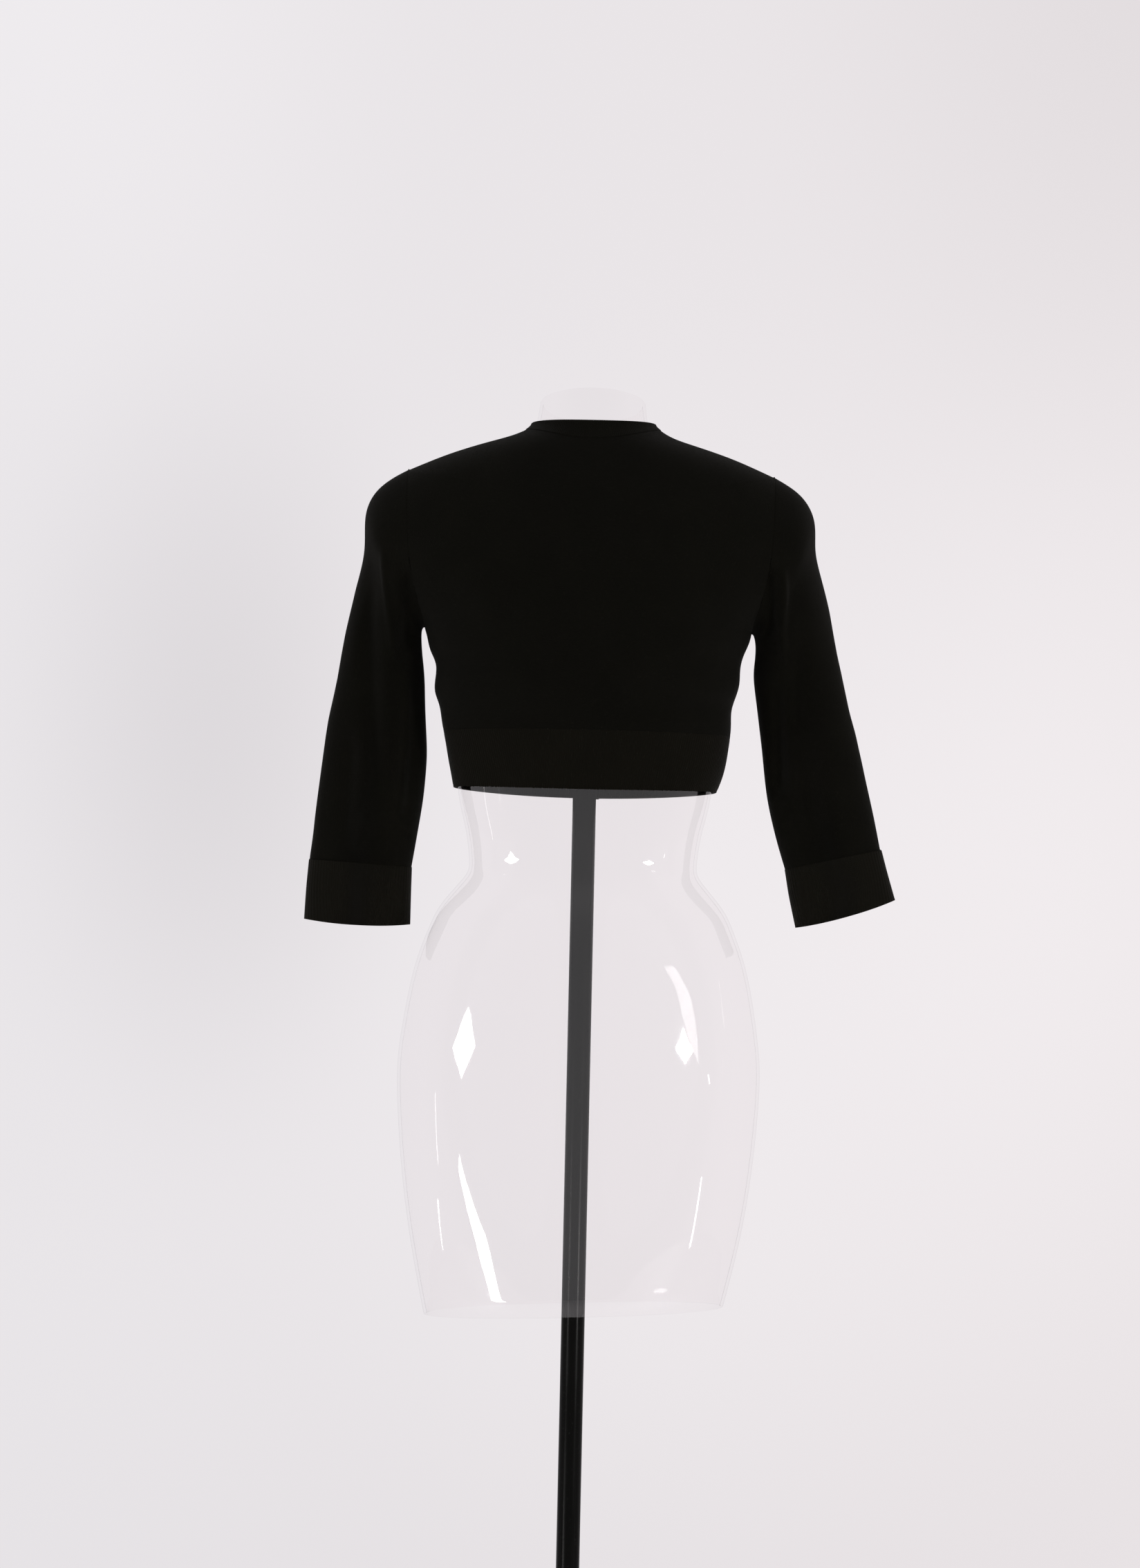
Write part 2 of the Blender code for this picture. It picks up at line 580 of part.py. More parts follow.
def sleeve_rings(side, rows, start_ring, folds, steps):
    """Rings of outer points from the armhole, or from the cuff's seam where start_ring is None."""
    number = np.arange(len(rows)) + (1 if start_ring is not None else 0)
    table = Table([(n,) + row for n, row in zip(number, rows)])
    count = 2 * ARMHOLE_STEPS
    around = np.linspace(0, 2 * math.pi, count, endpoint=False)
    oval_out = np.sign(np.cos(around)) * np.abs(np.cos(around)) ** (2 / SLEEVE_SQUARENESS)
    oval_deep = np.sign(np.sin(around)) * np.abs(np.sin(around)) ** (2 / SLEEVE_SQUARENESS)
    rings = []
    if start_ring is not None:
        rings.append(start_ring)
        top, bottom = start_ring[0], start_ring[ARMHOLE_STEPS]
        first_out = (top - bottom) / np.linalg.norm(top - bottom)
        first_on = np.cross([0, 1, 0], first_out) * side
        centre = (top + bottom) / 2
        first_deep = np.ptp(start_ring[:, 1]) / 2
        centre[1] = (start_ring[:, 1].max() + start_ring[:, 1].min()) / 2
        local = start_ring - centre
        arm_out = local @ first_out / (np.linalg.norm(top - bottom) / 2)
        arm_deep = local[:, 1] / first_deep
        arm_on = local @ first_on
    for place in steps:
        section = dict(zip(SLEEVE_COLUMNS, map(float, table.read(place))))
        middle, outwards, onwards, half = sleeve_frame(side, section)
        oval = section["oval"]
        out, deep, on = oval_out, oval_deep, np.zeros(count)
        if start_ring is not None:
            out = oval * oval_out + (1 - oval) * arm_out
            deep = oval * oval_deep + (1 - oval) * arm_deep
            on = (1 - oval) * arm_on
        ring = (middle + np.outer(out * half, outwards) + np.outer(on, onwards)
                + np.outer(deep * section["half_depth"] * MM, [0, 1, 0]))
        rings.append(ring)
    places = ([0.0] if start_ring is not None else []) + list(steps)
    return add_folds(rings, places, folds, around)


def ring_normals(rings):
    """Outward normals of a tube given by rings."""
    grid = np.array(rings)
    round_it = np.roll(grid, -1, axis=1) - np.roll(grid, 1, axis=1)
    along_it = np.gradient(grid, axis=0)
    normal = np.cross(round_it, along_it)
    normal /= np.linalg.norm(normal, axis=-1, keepdims=True)
    from_middle = grid - grid.mean(axis=1, keepdims=True)
    facing = np.sign((normal * from_middle).sum(axis=-1).sum())
    return normal * facing


def add_folds(rings, places, folds, around):
    """Moves the rings' points in or out along soft folds."""
    normals = ring_normals(rings)
    moved = []
    for ring, place, normal in zip(rings, places, normals):
        shift = np.zeros(len(around))
        for start, end, degrees, half_width, depth in folds:
            share = (place - start) / (end - start)
            if 0 < share < 1:
                off = np.degrees(np.angle(np.exp(1j * (around - math.radians(degrees)))))
                shape = np.exp(-((off / half_width) ** 2))
                shift += depth * MM * math.sin(math.pi * share) * shape
        moved.append(ring + normal * shift[:, None])
    return moved


def make_sleeves():
    sides = (("left", 1, SLEEVE_LEFT_ROWS, CUFF_LEFT_ROWS, SLEEVE_LEFT_FOLDS),
             ("right", -1, SLEEVE_RIGHT_ROWS, CUFF_RIGHT_ROWS, SLEEVE_RIGHT_FOLDS))
    for name, side, rows, cuff_rows, folds in sides:
        last = len(rows)
        steps = list(range(1, 8)) + list(np.linspace(7, last, SLEEVE_LOWER_RINGS + 1)[1:])
        rings = sleeve_rings(side, rows, armhole_ring(side), folds, steps)
        normals = ring_normals(rings)
        wall("sleeve_" + name, list(zip(rings, normals)), KNIT_WALL, KNIT, closed=True)
        rings = sleeve_rings(side, cuff_rows, None, (), (0, 0.5, 1, 2))
        around = np.linspace(0, 2 * math.pi, len(rings[0]), endpoint=False)
        rings[-1][:, 2] -= CUFF_BOW * MM * np.sin(around) ** 2
        normals = ring_normals(rings)
        rings = [ring + normal * RIB_LIFT for ring, normal in zip(rings, normals)]
        wall("cuff_" + name, list(zip(rings, normals)), RIB_WALL, RIB, closed=True)


def turned(name, profile, sides, finish):
    """A solid turned about the Z axis from a closed profile of (radius, height) points."""
    bm = bmesh.new()
    points = [bm.verts.new((radius, 0, height)) for radius, height in profile]
    edges = [bm.edges.new(pair) for pair in zip(points, points[1:])]
    if profile[0][0] > 0:
        edges.append(bm.edges.new((points[-1], points[0])))
    bmesh.ops.spin(bm, geom=points + edges, axis=(0, 0, 1), cent=(0, 0, 0),
                   angle=2 * math.pi, steps=sides, use_merge=True)
    bmesh.ops.remove_doubles(bm, verts=bm.verts, dist=1e-6)
    return add_object(name, mesh_from(bm, name, 30), finish)


def make_buttons():
    edge, rim = 0.7 * MM, 1.3 * MM
    dish = BUTTON_THICK - 0.7 * MM
    profile = ((0, 0), (BUTTON_RADIUS - edge, 0), (BUTTON_RADIUS, edge),
               (BUTTON_RADIUS, BUTTON_THICK - edge), (BUTTON_RADIUS - edge, BUTTON_THICK),
               (BUTTON_RADIUS - rim, BUTTON_THICK), (BUTTON_RADIUS - 2 * rim, dish), (0, dish))
    first = None
    for k, height in enumerate(BUTTON_HEIGHTS):
        lift = UPPER_LIFT + BUTTON_SEAT
        if height > NECK_SEAM_FRONT:
            lift += RIB_LIFT
        point, normal = knit_at(np.asarray(0.0), np.asarray(height), -1, lift)
        name = "button_%d" % (k + 1)
        if first is None:
            first = button = turned(name, profile, BUTTON_SIDES, (BLACK_BUTTON, 0.25))
        else:
            button = bpy.data.objects.new(name, first.data)
            bpy.context.scene.collection.objects.link(button)
        facing = Vector((0, 0, 1)).rotation_difference(Vector(normal))
        button.matrix_world = Matrix.Translation(point) @ facing.to_matrix().to_4x4()


def shell_half(name, face):
    """One moulded half of the form, between its side seams."""
    heights = [FOOT_RIM] + [row[0] for row in FIGURE_ROWS[1:]]
    rows = []
    for height in heights:
        dense = np.linspace(0, math.pi, 181) * face
        line = figure_point(dense, height)
        shares = spread(line, SHELL_COLUMNS)
        arc = np.concatenate([[0], np.cumsum(np.linalg.norm(np.diff(line, axis=0), axis=1))])
        places = np.linspace(0, 1, len(dense))
        shares[0] = np.interp(HALF_GAP, arc, places)
        shares[-1] = np.interp(arc[-1] - HALF_GAP, arc, places)
        turn = shares * math.pi * face
        rows.append((figure_point(turn, height), outward(figure_point, turn, height)))
    wall(name, rows, SHELL_WALL, (CLEAR, 0.03, 0.0, 1.0))


def make_form():
    shell_half("form_back", 1)
    shell_half("form_front", -1)


def make_base():
    profile = ((0, 0), (BASE_RADIUS - BASE_EDGE, 0), (BASE_RADIUS, BASE_EDGE),
               (BASE_RADIUS, BASE_THICK - BASE_EDGE), (BASE_RADIUS - BASE_EDGE, BASE_THICK),
               (BOSS_RADIUS + BASE_EDGE, BASE_THICK), (BOSS_RADIUS, BASE_THICK + BASE_EDGE),
               (BOSS_RADIUS, BOSS_TOP - BASE_EDGE), (BOSS_RADIUS - BASE_EDGE, BOSS_TOP),
               (POLE_RADIUS + SEAM_GAP, BOSS_TOP), (POLE_RADIUS + SEAM_GAP, BOSS_TOP - SOCKET_DEPTH),
               (0, BOSS_TOP - SOCKET_DEPTH))
    turned("base", profile, TURN_SIDES, (BLACK_METAL, 0.4, 0.6))


def make_pole():
    foot = BOSS_TOP - SOCKET_DEPTH + SEAM_GAP
    top = FORM_FOOT + BRACKET_HEIGHT * MM - 2 * BAR_THICK
    edge = 1.0 * MM
    profile = ((0, foot), (POLE_RADIUS, foot), (POLE_RADIUS, top - edge), (POLE_RADIUS - edge, top), (0, top))
    turned("pole", profile, TURN_SIDES // 2, (BLACK_METAL, 0.3, 0.5))


def make_bracket():
    """A collar on the pole's top, and a flat cross bar whose turned-up ends meet the shell."""
    top = FORM_FOOT + BRACKET_HEIGHT * MM
    under = top - 2 * BAR_THICK + SEAM_GAP
    inside = POLE_RADIUS + SEAM_GAP
    profile = ((0, under), (inside, under), (inside, top - COLLAR_LONG), (COLLAR_RADIUS, top - COLLAR_LONG),
               (COLLAR_RADIUS, top), (0, top))
    turned("bracket_collar", profile, TURN_SIDES // 2, (BLACK_METAL, 0.4, 0.6))

    def seat(height):
        """How far out a tab may reach: the shell's inside at the bar's edge."""
        turn = np.linspace(0, 0.4, 81)
        inside_wall = figure_point(turn, height) - outward(figure_point, turn, height) * SHELL_WALL
        return float(np.interp(BAR_HALF_WIDTH, inside_wall[:, 1], inside_wall[:, 0])) - TAB_SEAT

    low = BRACKET_HEIGHT + SEAM_GAP / MM
    step = BAR_THICK / MM
    outline = []
    for side in (1, -1):
        half = [(seat(low), low), (seat(TAB_TOP), TAB_TOP), (seat(TAB_TOP) - BAR_THICK, TAB_TOP),
                (seat(low + step) - BAR_THICK, low + step)]
        half = half if side > 0 else half[::-1]
        outline += [(side * x, FORM_FOOT + z * MM) for x, z in half]
    bm = bmesh.new()
    face = bm.faces.new([bm.verts.new((x, -BAR_HALF_WIDTH, z)) for x, z in outline])
    grown = bmesh.ops.extrude_face_region(bm, geom=[face])
    moved = [g for g in grown["geom"] if isinstance(g, bmesh.types.BMVert)]
    bmesh.ops.translate(bm, verts=moved, vec=(0, 2 * BAR_HALF_WIDTH, 0))
    add_object("bracket_bar", mesh_from(bm, "bracket_bar"), (GREY_STEEL, 0.35, 1.0))


for old in list(bpy.data.objects):
    bpy.data.objects.remove(old, do_unlink=True)

make_back()
make_fronts()
make_waistband()
make_button_bands()
make_neckband()
make_sleeves()
make_buttons()
make_form()
make_base()
make_pole()
make_bracket()
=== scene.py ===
"""A cropped black button cardigan in fine knit, at rest on a clear dress form on its stand."""

import math

import bmesh
import bpy
import numpy as np
from mathutils import Matrix, Vector
from mathutils.kdtree import KDTree


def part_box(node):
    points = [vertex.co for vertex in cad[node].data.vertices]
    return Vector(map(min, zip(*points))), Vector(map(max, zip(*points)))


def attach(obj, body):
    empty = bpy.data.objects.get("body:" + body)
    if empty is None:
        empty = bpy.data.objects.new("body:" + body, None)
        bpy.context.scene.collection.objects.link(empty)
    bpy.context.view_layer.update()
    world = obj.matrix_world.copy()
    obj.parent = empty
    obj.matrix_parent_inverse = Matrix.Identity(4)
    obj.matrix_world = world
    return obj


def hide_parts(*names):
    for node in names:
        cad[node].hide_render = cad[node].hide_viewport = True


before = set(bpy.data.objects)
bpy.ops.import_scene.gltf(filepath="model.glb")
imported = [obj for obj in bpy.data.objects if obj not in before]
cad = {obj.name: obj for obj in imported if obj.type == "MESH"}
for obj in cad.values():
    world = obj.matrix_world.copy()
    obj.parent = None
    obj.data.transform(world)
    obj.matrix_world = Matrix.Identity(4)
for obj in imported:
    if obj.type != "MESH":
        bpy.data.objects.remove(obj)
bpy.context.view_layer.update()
MM = 0.001

# The foot of the stand is a heavy round steel plate with a raised boss that takes the pole.
# Plate and boss are turned in one piece with broken edges, then sprayed satin black.
PLATE_PROFILE = ((0, 0), (156.6, 0), (158.6, 0.5), (159.6, 1.5), (160, 3), (160, 6), (159.5, 7.8),
                 (158.4, 8.7), (156.8, 9), (25, 9), (23, 9.4), (21.7, 10.3), (21, 12), (21, 42.5),
                 (20.6, 43.8), (19.8, 44.7), (18.5, 45), (13.2, 45), (12.3, 44.4), (12.3, 15), (0, 15))
SPRAY_BLACK = (0.0075, 0.0075, 0.0078, 1)


def turned(name, profile, sides, finish):
    """A solid turned about the pole's axis from a profile of (radius, height) in millimetres."""
    bm = bmesh.new()
    points = [bm.verts.new((radius * MM, 0, height * MM)) for radius, height in profile]
    edges = [bm.edges.new(pair) for pair in zip(points, points[1:])]
    bmesh.ops.spin(bm, geom=points + edges, axis=(0, 0, 1), cent=(0, 0, 0), angle=2 * math.pi,
                   steps=sides, use_merge=True)
    bmesh.ops.remove_doubles(bm, verts=bm.verts, dist=1e-6)
    bmesh.ops.recalc_face_normals(bm, faces=bm.faces)
    return shown(name, bm, finish, 35)


def shown(name, bm, finish, sharp):
    """The finished piece from its bmesh: smooth faces, edges sharper than `sharp` degrees kept."""
    mesh = bpy.data.meshes.new(name)
    bm.to_mesh(mesh)
    bm.free()
    mesh.shade_smooth()
    mesh.set_sharp_from_angle(angle=math.radians(sharp))
    mesh.materials.append(finish)
    piece = bpy.data.objects.new(name, mesh)
    bpy.context.scene.collection.objects.link(piece)
    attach(piece, "root")
    return piece


def new_finish(name, colour, roughness, **sockets):
    """A material with one principled shader, and the parts that its pattern is wired with."""
    finish = bpy.data.materials.new(name)
    finish.use_nodes = True
    tree = finish.node_tree
    shader = tree.nodes["Principled BSDF"]
    shader.inputs["Base Color"].default_value = colour
    shader.inputs["Roughness"].default_value = roughness
    for socket, value in sockets.items():
        shader.inputs[socket.replace("_", " ")].default_value = value
    return finish, tree, shader


def add(tree, kind, **inputs):
    """A node of that kind, with its inputs set or wired; names take _ for a space."""
    node = tree.nodes.new(kind)
    for key, value in inputs.items():
        if key in ("operation", "data_type"):
            setattr(node, key, value)
            continue
        socket = node.inputs[int(key[1:])] if key[1:].isdigit() else node.inputs[key.replace("_", " ")]
        if isinstance(value, bpy.types.NodeSocket):
            tree.links.new(value, socket)
        else:
            socket.default_value = value
    return node


def sprayed(name, colour, roughness, level):
    """Satin spray paint: faint orange peel, and patches handled a little shinier."""
    finish, tree, shader = new_finish(name, colour, roughness, Specular_IOR_Level=level)
    place = add(tree, "ShaderNodeTexCoord").outputs["Object"]
    patches = add(tree, "ShaderNodeTexNoise", Vector=place, Scale=14.0, Detail=4.0)
    rough = add(tree, "ShaderNodeMapRange", Value=patches.outputs["Fac"], From_Min=0.3, From_Max=0.7,
                To_Min=roughness - 0.06, To_Max=roughness + 0.08)
    tree.links.new(rough.outputs[0], shader.inputs["Roughness"])
    dust = add(tree, "ShaderNodeTexNoise", Vector=place, Scale=260.0, Detail=3.0)
    specks = add(tree, "ShaderNodeMapRange", Value=dust.outputs["Fac"], From_Min=0.62, From_Max=0.8)
    pale = tuple(min(1.0, 2.6 * c + 0.004) for c in colour[:3]) + (1,)
    tone = add(tree, "ShaderNodeMix", data_type="RGBA", i0=specks.outputs[0], i6=colour, i7=pale)
    tree.links.new(tone.outputs[2], shader.inputs["Base Color"])
    peel = add(tree, "ShaderNodeTexNoise", Vector=place, Scale=900.0, Detail=1.0)
    bump = add(tree, "ShaderNodeBump", Strength=0.25, Distance=0.00006, Height=peel.outputs["Fac"])
    tree.links.new(bump.outputs[0], shader.inputs["Normal"])
    return finish


plate_paint = sprayed("plate_paint", SPRAY_BLACK, 0.42, 0.35)
foot_plate = turned("foot_plate", PLATE_PROFILE, 128, plate_paint)
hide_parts("base")

# The set screw in the boss grips the pole. It is a plain steel grub screw with a round socket,
# its face just proud of the boss at the back.
SCREW_HEIGHT = 30.0
SCREW_RADIUS = 3.2
SCREW_OUT = 21.2
SCREW_LONG = 1.6
SCREW_EDGE_WIDE = 0.35
SCREW_EDGE_DEEP = 0.3
SOCKET_RIM = 1.2
SOCKET_DEEP = 1.4
bm = bmesh.new()
bmesh.ops.create_circle(bm, cap_ends=True, segments=24, radius=SCREW_RADIUS * MM)
face = bm.faces[:]
bmesh.ops.inset_region(bm, faces=face, thickness=SCREW_EDGE_WIDE * MM, depth=SCREW_EDGE_DEEP * MM)
bmesh.ops.inset_region(bm, faces=face, thickness=SOCKET_RIM * MM, depth=0)
bmesh.ops.inset_region(bm, faces=face, thickness=0.0, depth=-SOCKET_DEEP * MM)
rim = [e for e in bm.edges if e.is_boundary]
drawn = bmesh.ops.extrude_edge_only(bm, edges=rim)["geom"]
drawn = [part for part in drawn if isinstance(part, bmesh.types.BMVert)]
bmesh.ops.translate(bm, verts=drawn, vec=(0, 0, -SCREW_LONG * MM))
bmesh.ops.holes_fill(bm, edges=[e for e in bm.edges if e.is_boundary])
bmesh.ops.recalc_face_normals(bm, faces=bm.faces)
bmesh.ops.transform(bm, verts=bm.verts, matrix=Matrix.Translation((0, SCREW_OUT * MM, SCREW_HEIGHT * MM))
                    @ Matrix.Rotation(-math.pi / 2, 4, "X"))
screw_steel, tree, shader = new_finish("screw_steel", (0.25, 0.25, 0.26, 1), 0.35, Metallic=1.0)
place = add(tree, "ShaderNodeTexCoord").outputs["Object"]
turning = add(tree, "ShaderNodeTexNoise", Vector=place, Scale=700.0, Detail=3.0)
bump = add(tree, "ShaderNodeBump", Strength=0.3, Distance=0.00005, Height=turning.outputs["Fac"])
tree.links.new(bump.outputs[0], shader.inputs["Normal"])
shown("set_screw", bm, screw_steel, 35)

# The pole is a round steel tube, drawn, closed at the top and sprayed satin black. It stands
# in the boss and carries the bracket; years of handling have left faint smudges up its length.
POLE_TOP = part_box("pole")[1].z / MM
POLE_FOOT = 15.3
POLE_PROFILE = ((0, POLE_FOOT), (12, POLE_FOOT), (12, POLE_TOP - 1.2), (11.6, POLE_TOP - 0.4),
                (10.8, POLE_TOP), (0, POLE_TOP))
pole_paint = sprayed("pole_paint", (0.0028, 0.0028, 0.0025, 1), 0.20, 0.045)
pole = turned("pole_tube", POLE_PROFILE, 96, pole_paint)
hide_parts("pole")

# The bracket inside the form is a turned collar on the pole's top and a flat steel bar across
# it, whose ends turn up and are fixed to the shell. Edges are filed, faces left as rolled.


def filed_copy(node, name, edge, finish):
    """The CAD piece with its edges broken by a small bevel."""
    bm = bmesh.new()
    bm.from_mesh(cad[node].data)
    bmesh.ops.remove_doubles(bm, verts=bm.verts, dist=1e-6)
    bmesh.ops.dissolve_limit(bm, angle_limit=math.radians(1), verts=bm.verts, edges=bm.edges)
    sharp = [e for e in bm.edges if e.is_manifold and e.calc_face_angle() > math.radians(30)]
    bmesh.ops.bevel(bm, geom=sharp, offset=edge * MM, offset_type="OFFSET", affect="EDGES", segments=2,
                    profile=0.5, material=-1, clamp_overlap=True)
    piece = shown(name, bm, finish, 35)
    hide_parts(node)


bar_steel, tree, shader = new_finish("bar_steel", (0.34, 0.34, 0.35, 1), 0.36, Metallic=1.0)
place = add(tree, "ShaderNodeTexCoord").outputs["Object"]
grain_place = add(tree, "ShaderNodeMapping", Vector=place, Scale=(6.0, 300.0, 300.0))
grain = add(tree, "ShaderNodeTexNoise", Vector=grain_place.outputs[0], Scale=3.0, Detail=5.0)
tone = add(tree, "ShaderNodeMix", data_type="RGBA", i0=grain.outputs["Fac"], i6=(0.28, 0.28, 0.29, 1),
           i7=(0.42, 0.42, 0.42, 1))
tree.links.new(tone.outputs[2], shader.inputs["Base Color"])
bump = add(tree, "ShaderNodeBump", Strength=0.3, Distance=0.00005, Height=grain.outputs["Fac"])
tree.links.new(bump.outputs[0], shader.inputs["Normal"])
filed_copy("bracket_bar", "cross_bar", 0.6, bar_steel)
filed_copy("bracket_collar", "pole_collar", 0.8, plate_paint)

# The dress form is a clear polycarbonate shell, vacuum formed over a torso mould, 3 mm thick,
# open at the neck and below. It is welded along the sides, and its trimmed edges are flamed.
# Only the outer faces carry gloss, and the far wall's is held faint.
SHELL_THICK = 3.0
SHELL_TINT = (0.995, 0.991, 0.992, 1)
FIT_ROUNDS = 3
FIT_SHARE = 0.9


def outer_skin(nodes, own_middle=False):
    """The outside of CAD walls as one bmesh of quads; a tube is judged from its own middle."""
    bm = bmesh.new()
    for node in nodes:
        bm.from_mesh(cad[node].data)
    bmesh.ops.remove_doubles(bm, verts=bm.verts, dist=1e-6)
    bmesh.ops.join_triangles(bm, faces=bm.faces, cmp_seam=False, cmp_sharp=False, cmp_uvs=False,
                             cmp_vcols=False, cmp_materials=False, angle_face_threshold=math.radians(60),
                             angle_shape_threshold=math.pi, topology_influence=1.0)
    seen, skins = set(), []
    mid = sum((v.co for v in bm.verts), Vector()) / len(bm.verts) if own_middle else Vector()
    for start in bm.faces:
        if start in seen:
            continue
        seen.add(start)
        island, reached = [], [start]
        while reached:
            face = reached.pop()
            island.append(face)
            for edge in face.edges:
                if edge.is_manifold and edge.calc_face_angle() < math.radians(45):
                    for near in edge.link_faces:
                        if near not in seen:
                            seen.add(near)
                            reached.append(near)
        outward = 0.0
        for face in island:
            centre = face.calc_center_median()
            outward += face.calc_area() * face.normal.dot(centre - Vector((mid.x, mid.y, centre.z)))
        skins.append((outward, island))
    skins.sort(key=lambda s: s[0], reverse=True)
    keep = {face for outward, island in skins[:len(nodes)] for face in island}
    bmesh.ops.delete(bm, geom=[f for f in bm.faces if f not in keep], context="FACES")
    return bm


def smoothed(bm, levels):
    """A fine smooth mesh through the skin's own points; corners of its edge stay corners."""
    corner = bm.verts.layers.float.new("crease_vert")
    for vert in bm.verts:
        border = [e for e in vert.link_edges if e.is_boundary]
        if len(border) == 2:
            ways = [(e.other_vert(vert).co - vert.co).normalized() for e in border]
            if ways[0].angle(-ways[1], 0) > math.radians(38):
                vert[corner] = 1.0
    mesh = bpy.data.meshes.new("skin")
    bm.to_mesh(mesh)
    bm.free()
    holder = bpy.data.objects.new("skin", mesh)
    bpy.context.scene.collection.objects.link(holder)
    rounder = holder.modifiers.new("round", "SUBSURF")
    rounder.levels = rounder.render_levels = 1
    rounder.boundary_smooth = "PRESERVE_CORNERS"
    count = len(mesh.vertices)
    goal = np.empty(count * 3)
    mesh.vertices.foreach_get("co", goal)
    now = goal.copy()
    for step in range(FIT_ROUNDS):
        fine = bpy.data.meshes.new_from_object(holder.evaluated_get(bpy.context.evaluated_depsgraph_get()))
        co = np.empty(len(fine.vertices) * 3)
        fine.vertices.foreach_get("co", co)
        bpy.data.meshes.remove(fine)
        now += FIT_SHARE * (goal - co[:count * 3])
        mesh.vertices.foreach_set("co", now)
        mesh.update()
    rounder.levels = rounder.render_levels = levels
    fine = bpy.data.meshes.new_from_object(holder.evaluated_get(bpy.context.evaluated_depsgraph_get()))
    bpy.data.objects.remove(holder)
    return fine


def thickened(name, fine, thick, finish, edge=0.0, sharp=50):
    """The piece from its fine outer mesh: a wall inwards, with its cut edges eased."""
    fine.name = name
    piece = bpy.data.objects.new(name, fine)
    bpy.context.scene.collection.objects.link(piece)
    inward = piece.modifiers.new("wall", "SOLIDIFY")
    inward.thickness = thick * MM
    inward.offset = -1.0
    inward.use_even_offset = False
    if edge:
        ease = piece.modifiers.new("ease", "BEVEL")
        ease.width = edge * MM
        ease.segments = 2
        ease.limit_method = "ANGLE"
        ease.angle_limit = math.radians(50)
    done = bpy.data.meshes.new_from_object(piece.evaluated_get(bpy.context.evaluated_depsgraph_get()))
    piece.modifiers.clear()
    piece.data = done
    bpy.data.meshes.remove(fine)
    done.name = name
    done.shade_smooth()
    done.set_sharp_from_angle(angle=math.radians(sharp))
    done.materials.clear()
    done.materials.append(finish)
    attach(piece, "root")
    return piece


bm = outer_skin(("form_back", "form_front"))
bmesh.ops.remove_doubles(bm, verts=bm.verts, dist=0.6 * MM)
clear, tree, shader = new_finish("clear_polycarbonate", (0.90, 0.90, 0.91, 1), 0.03, Specular_IOR_Level=0.5,
                                 Metallic=1.0)
through = add(tree, "ShaderNodeBsdfTransparent")
edge_on = add(tree, "ShaderNodeLayerWeight", Blend=0.5)
steep = add(tree, "ShaderNodeMath", operation="POWER", i0=edge_on.outputs["Facing"], i1=5.0)
share = add(tree, "ShaderNodeMapRange", Value=steep.outputs[0], To_Min=0.085, To_Max=0.60)
outside = add(tree, "ShaderNodeAttribute")
outside.attribute_name = "outside"
share = add(tree, "ShaderNodeMath", operation="MULTIPLY", i0=share.outputs[0], i1=outside.outputs["Fac"])
far_side = add(tree, "ShaderNodeNewGeometry").outputs["Backfacing"]
faint = add(tree, "ShaderNodeMapRange", Value=far_side, To_Min=1.0, To_Max=0.12)
share = add(tree, "ShaderNodeMath", operation="MULTIPLY", i0=share.outputs[0], i1=faint.outputs[0])
dim = add(tree, "ShaderNodeMath", operation="POWER", i0=edge_on.outputs["Facing"], i1=36.0)
tone = add(tree, "ShaderNodeMix", data_type="RGBA", i0=dim.outputs[0], i6=SHELL_TINT,
           i7=(0.42, 0.42, 0.44, 1))
tree.links.new(tone.outputs[2], through.inputs["Color"])
both = add(tree, "ShaderNodeMixShader", i0=share.outputs[0], i1=through.outputs[0], i2=shader.outputs[0])
tree.links.new(both.outputs[0], tree.nodes["Material Output"].inputs["Surface"])
waver_place = add(tree, "ShaderNodeTexCoord").outputs["Object"]
waver = add(tree, "ShaderNodeTexNoise", Vector=waver_place, Scale=9.0, Detail=2.0)
bump = add(tree, "ShaderNodeBump", Strength=0.35, Distance=0.0012, Height=waver.outputs["Fac"])
tree.links.new(bump.outputs[0], shader.inputs["Normal"])
clear_shell = thickened("clear_shell", smoothed(bm, 2), SHELL_THICK, clear, edge=0.7, sharp=60)
marks = clear_shell.data.attributes.new("outside", "FLOAT", "FACE")
for face, mark in zip(clear_shell.data.polygons, marks.data):
    mark.value = 1.0 if face.normal.x * face.center.x + face.normal.y * face.center.y > 0 else 0.0
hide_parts("form_back", "form_front")

# The back is one panel of fine black jersey knit, cut to the waist seam and fully fashioned
# at the armholes. It hangs just clear of the form, and pulls into short soft folds at the sides.
JERSEY_BLACK = (0.0020, 0.0019, 0.0010, 1)
# The lighter colour stands for lint and wear, and also gives the stitch crowns their painted highlight.
JERSEY_FUZZ_AND_HIGHLIGHT = (0.0058, 0.0055, 0.0036, 1)
WALE, COURSE = 1.25, 0.95
JERSEY_THICK = 2.0
BODY_MAP_RADIUS = 0.135


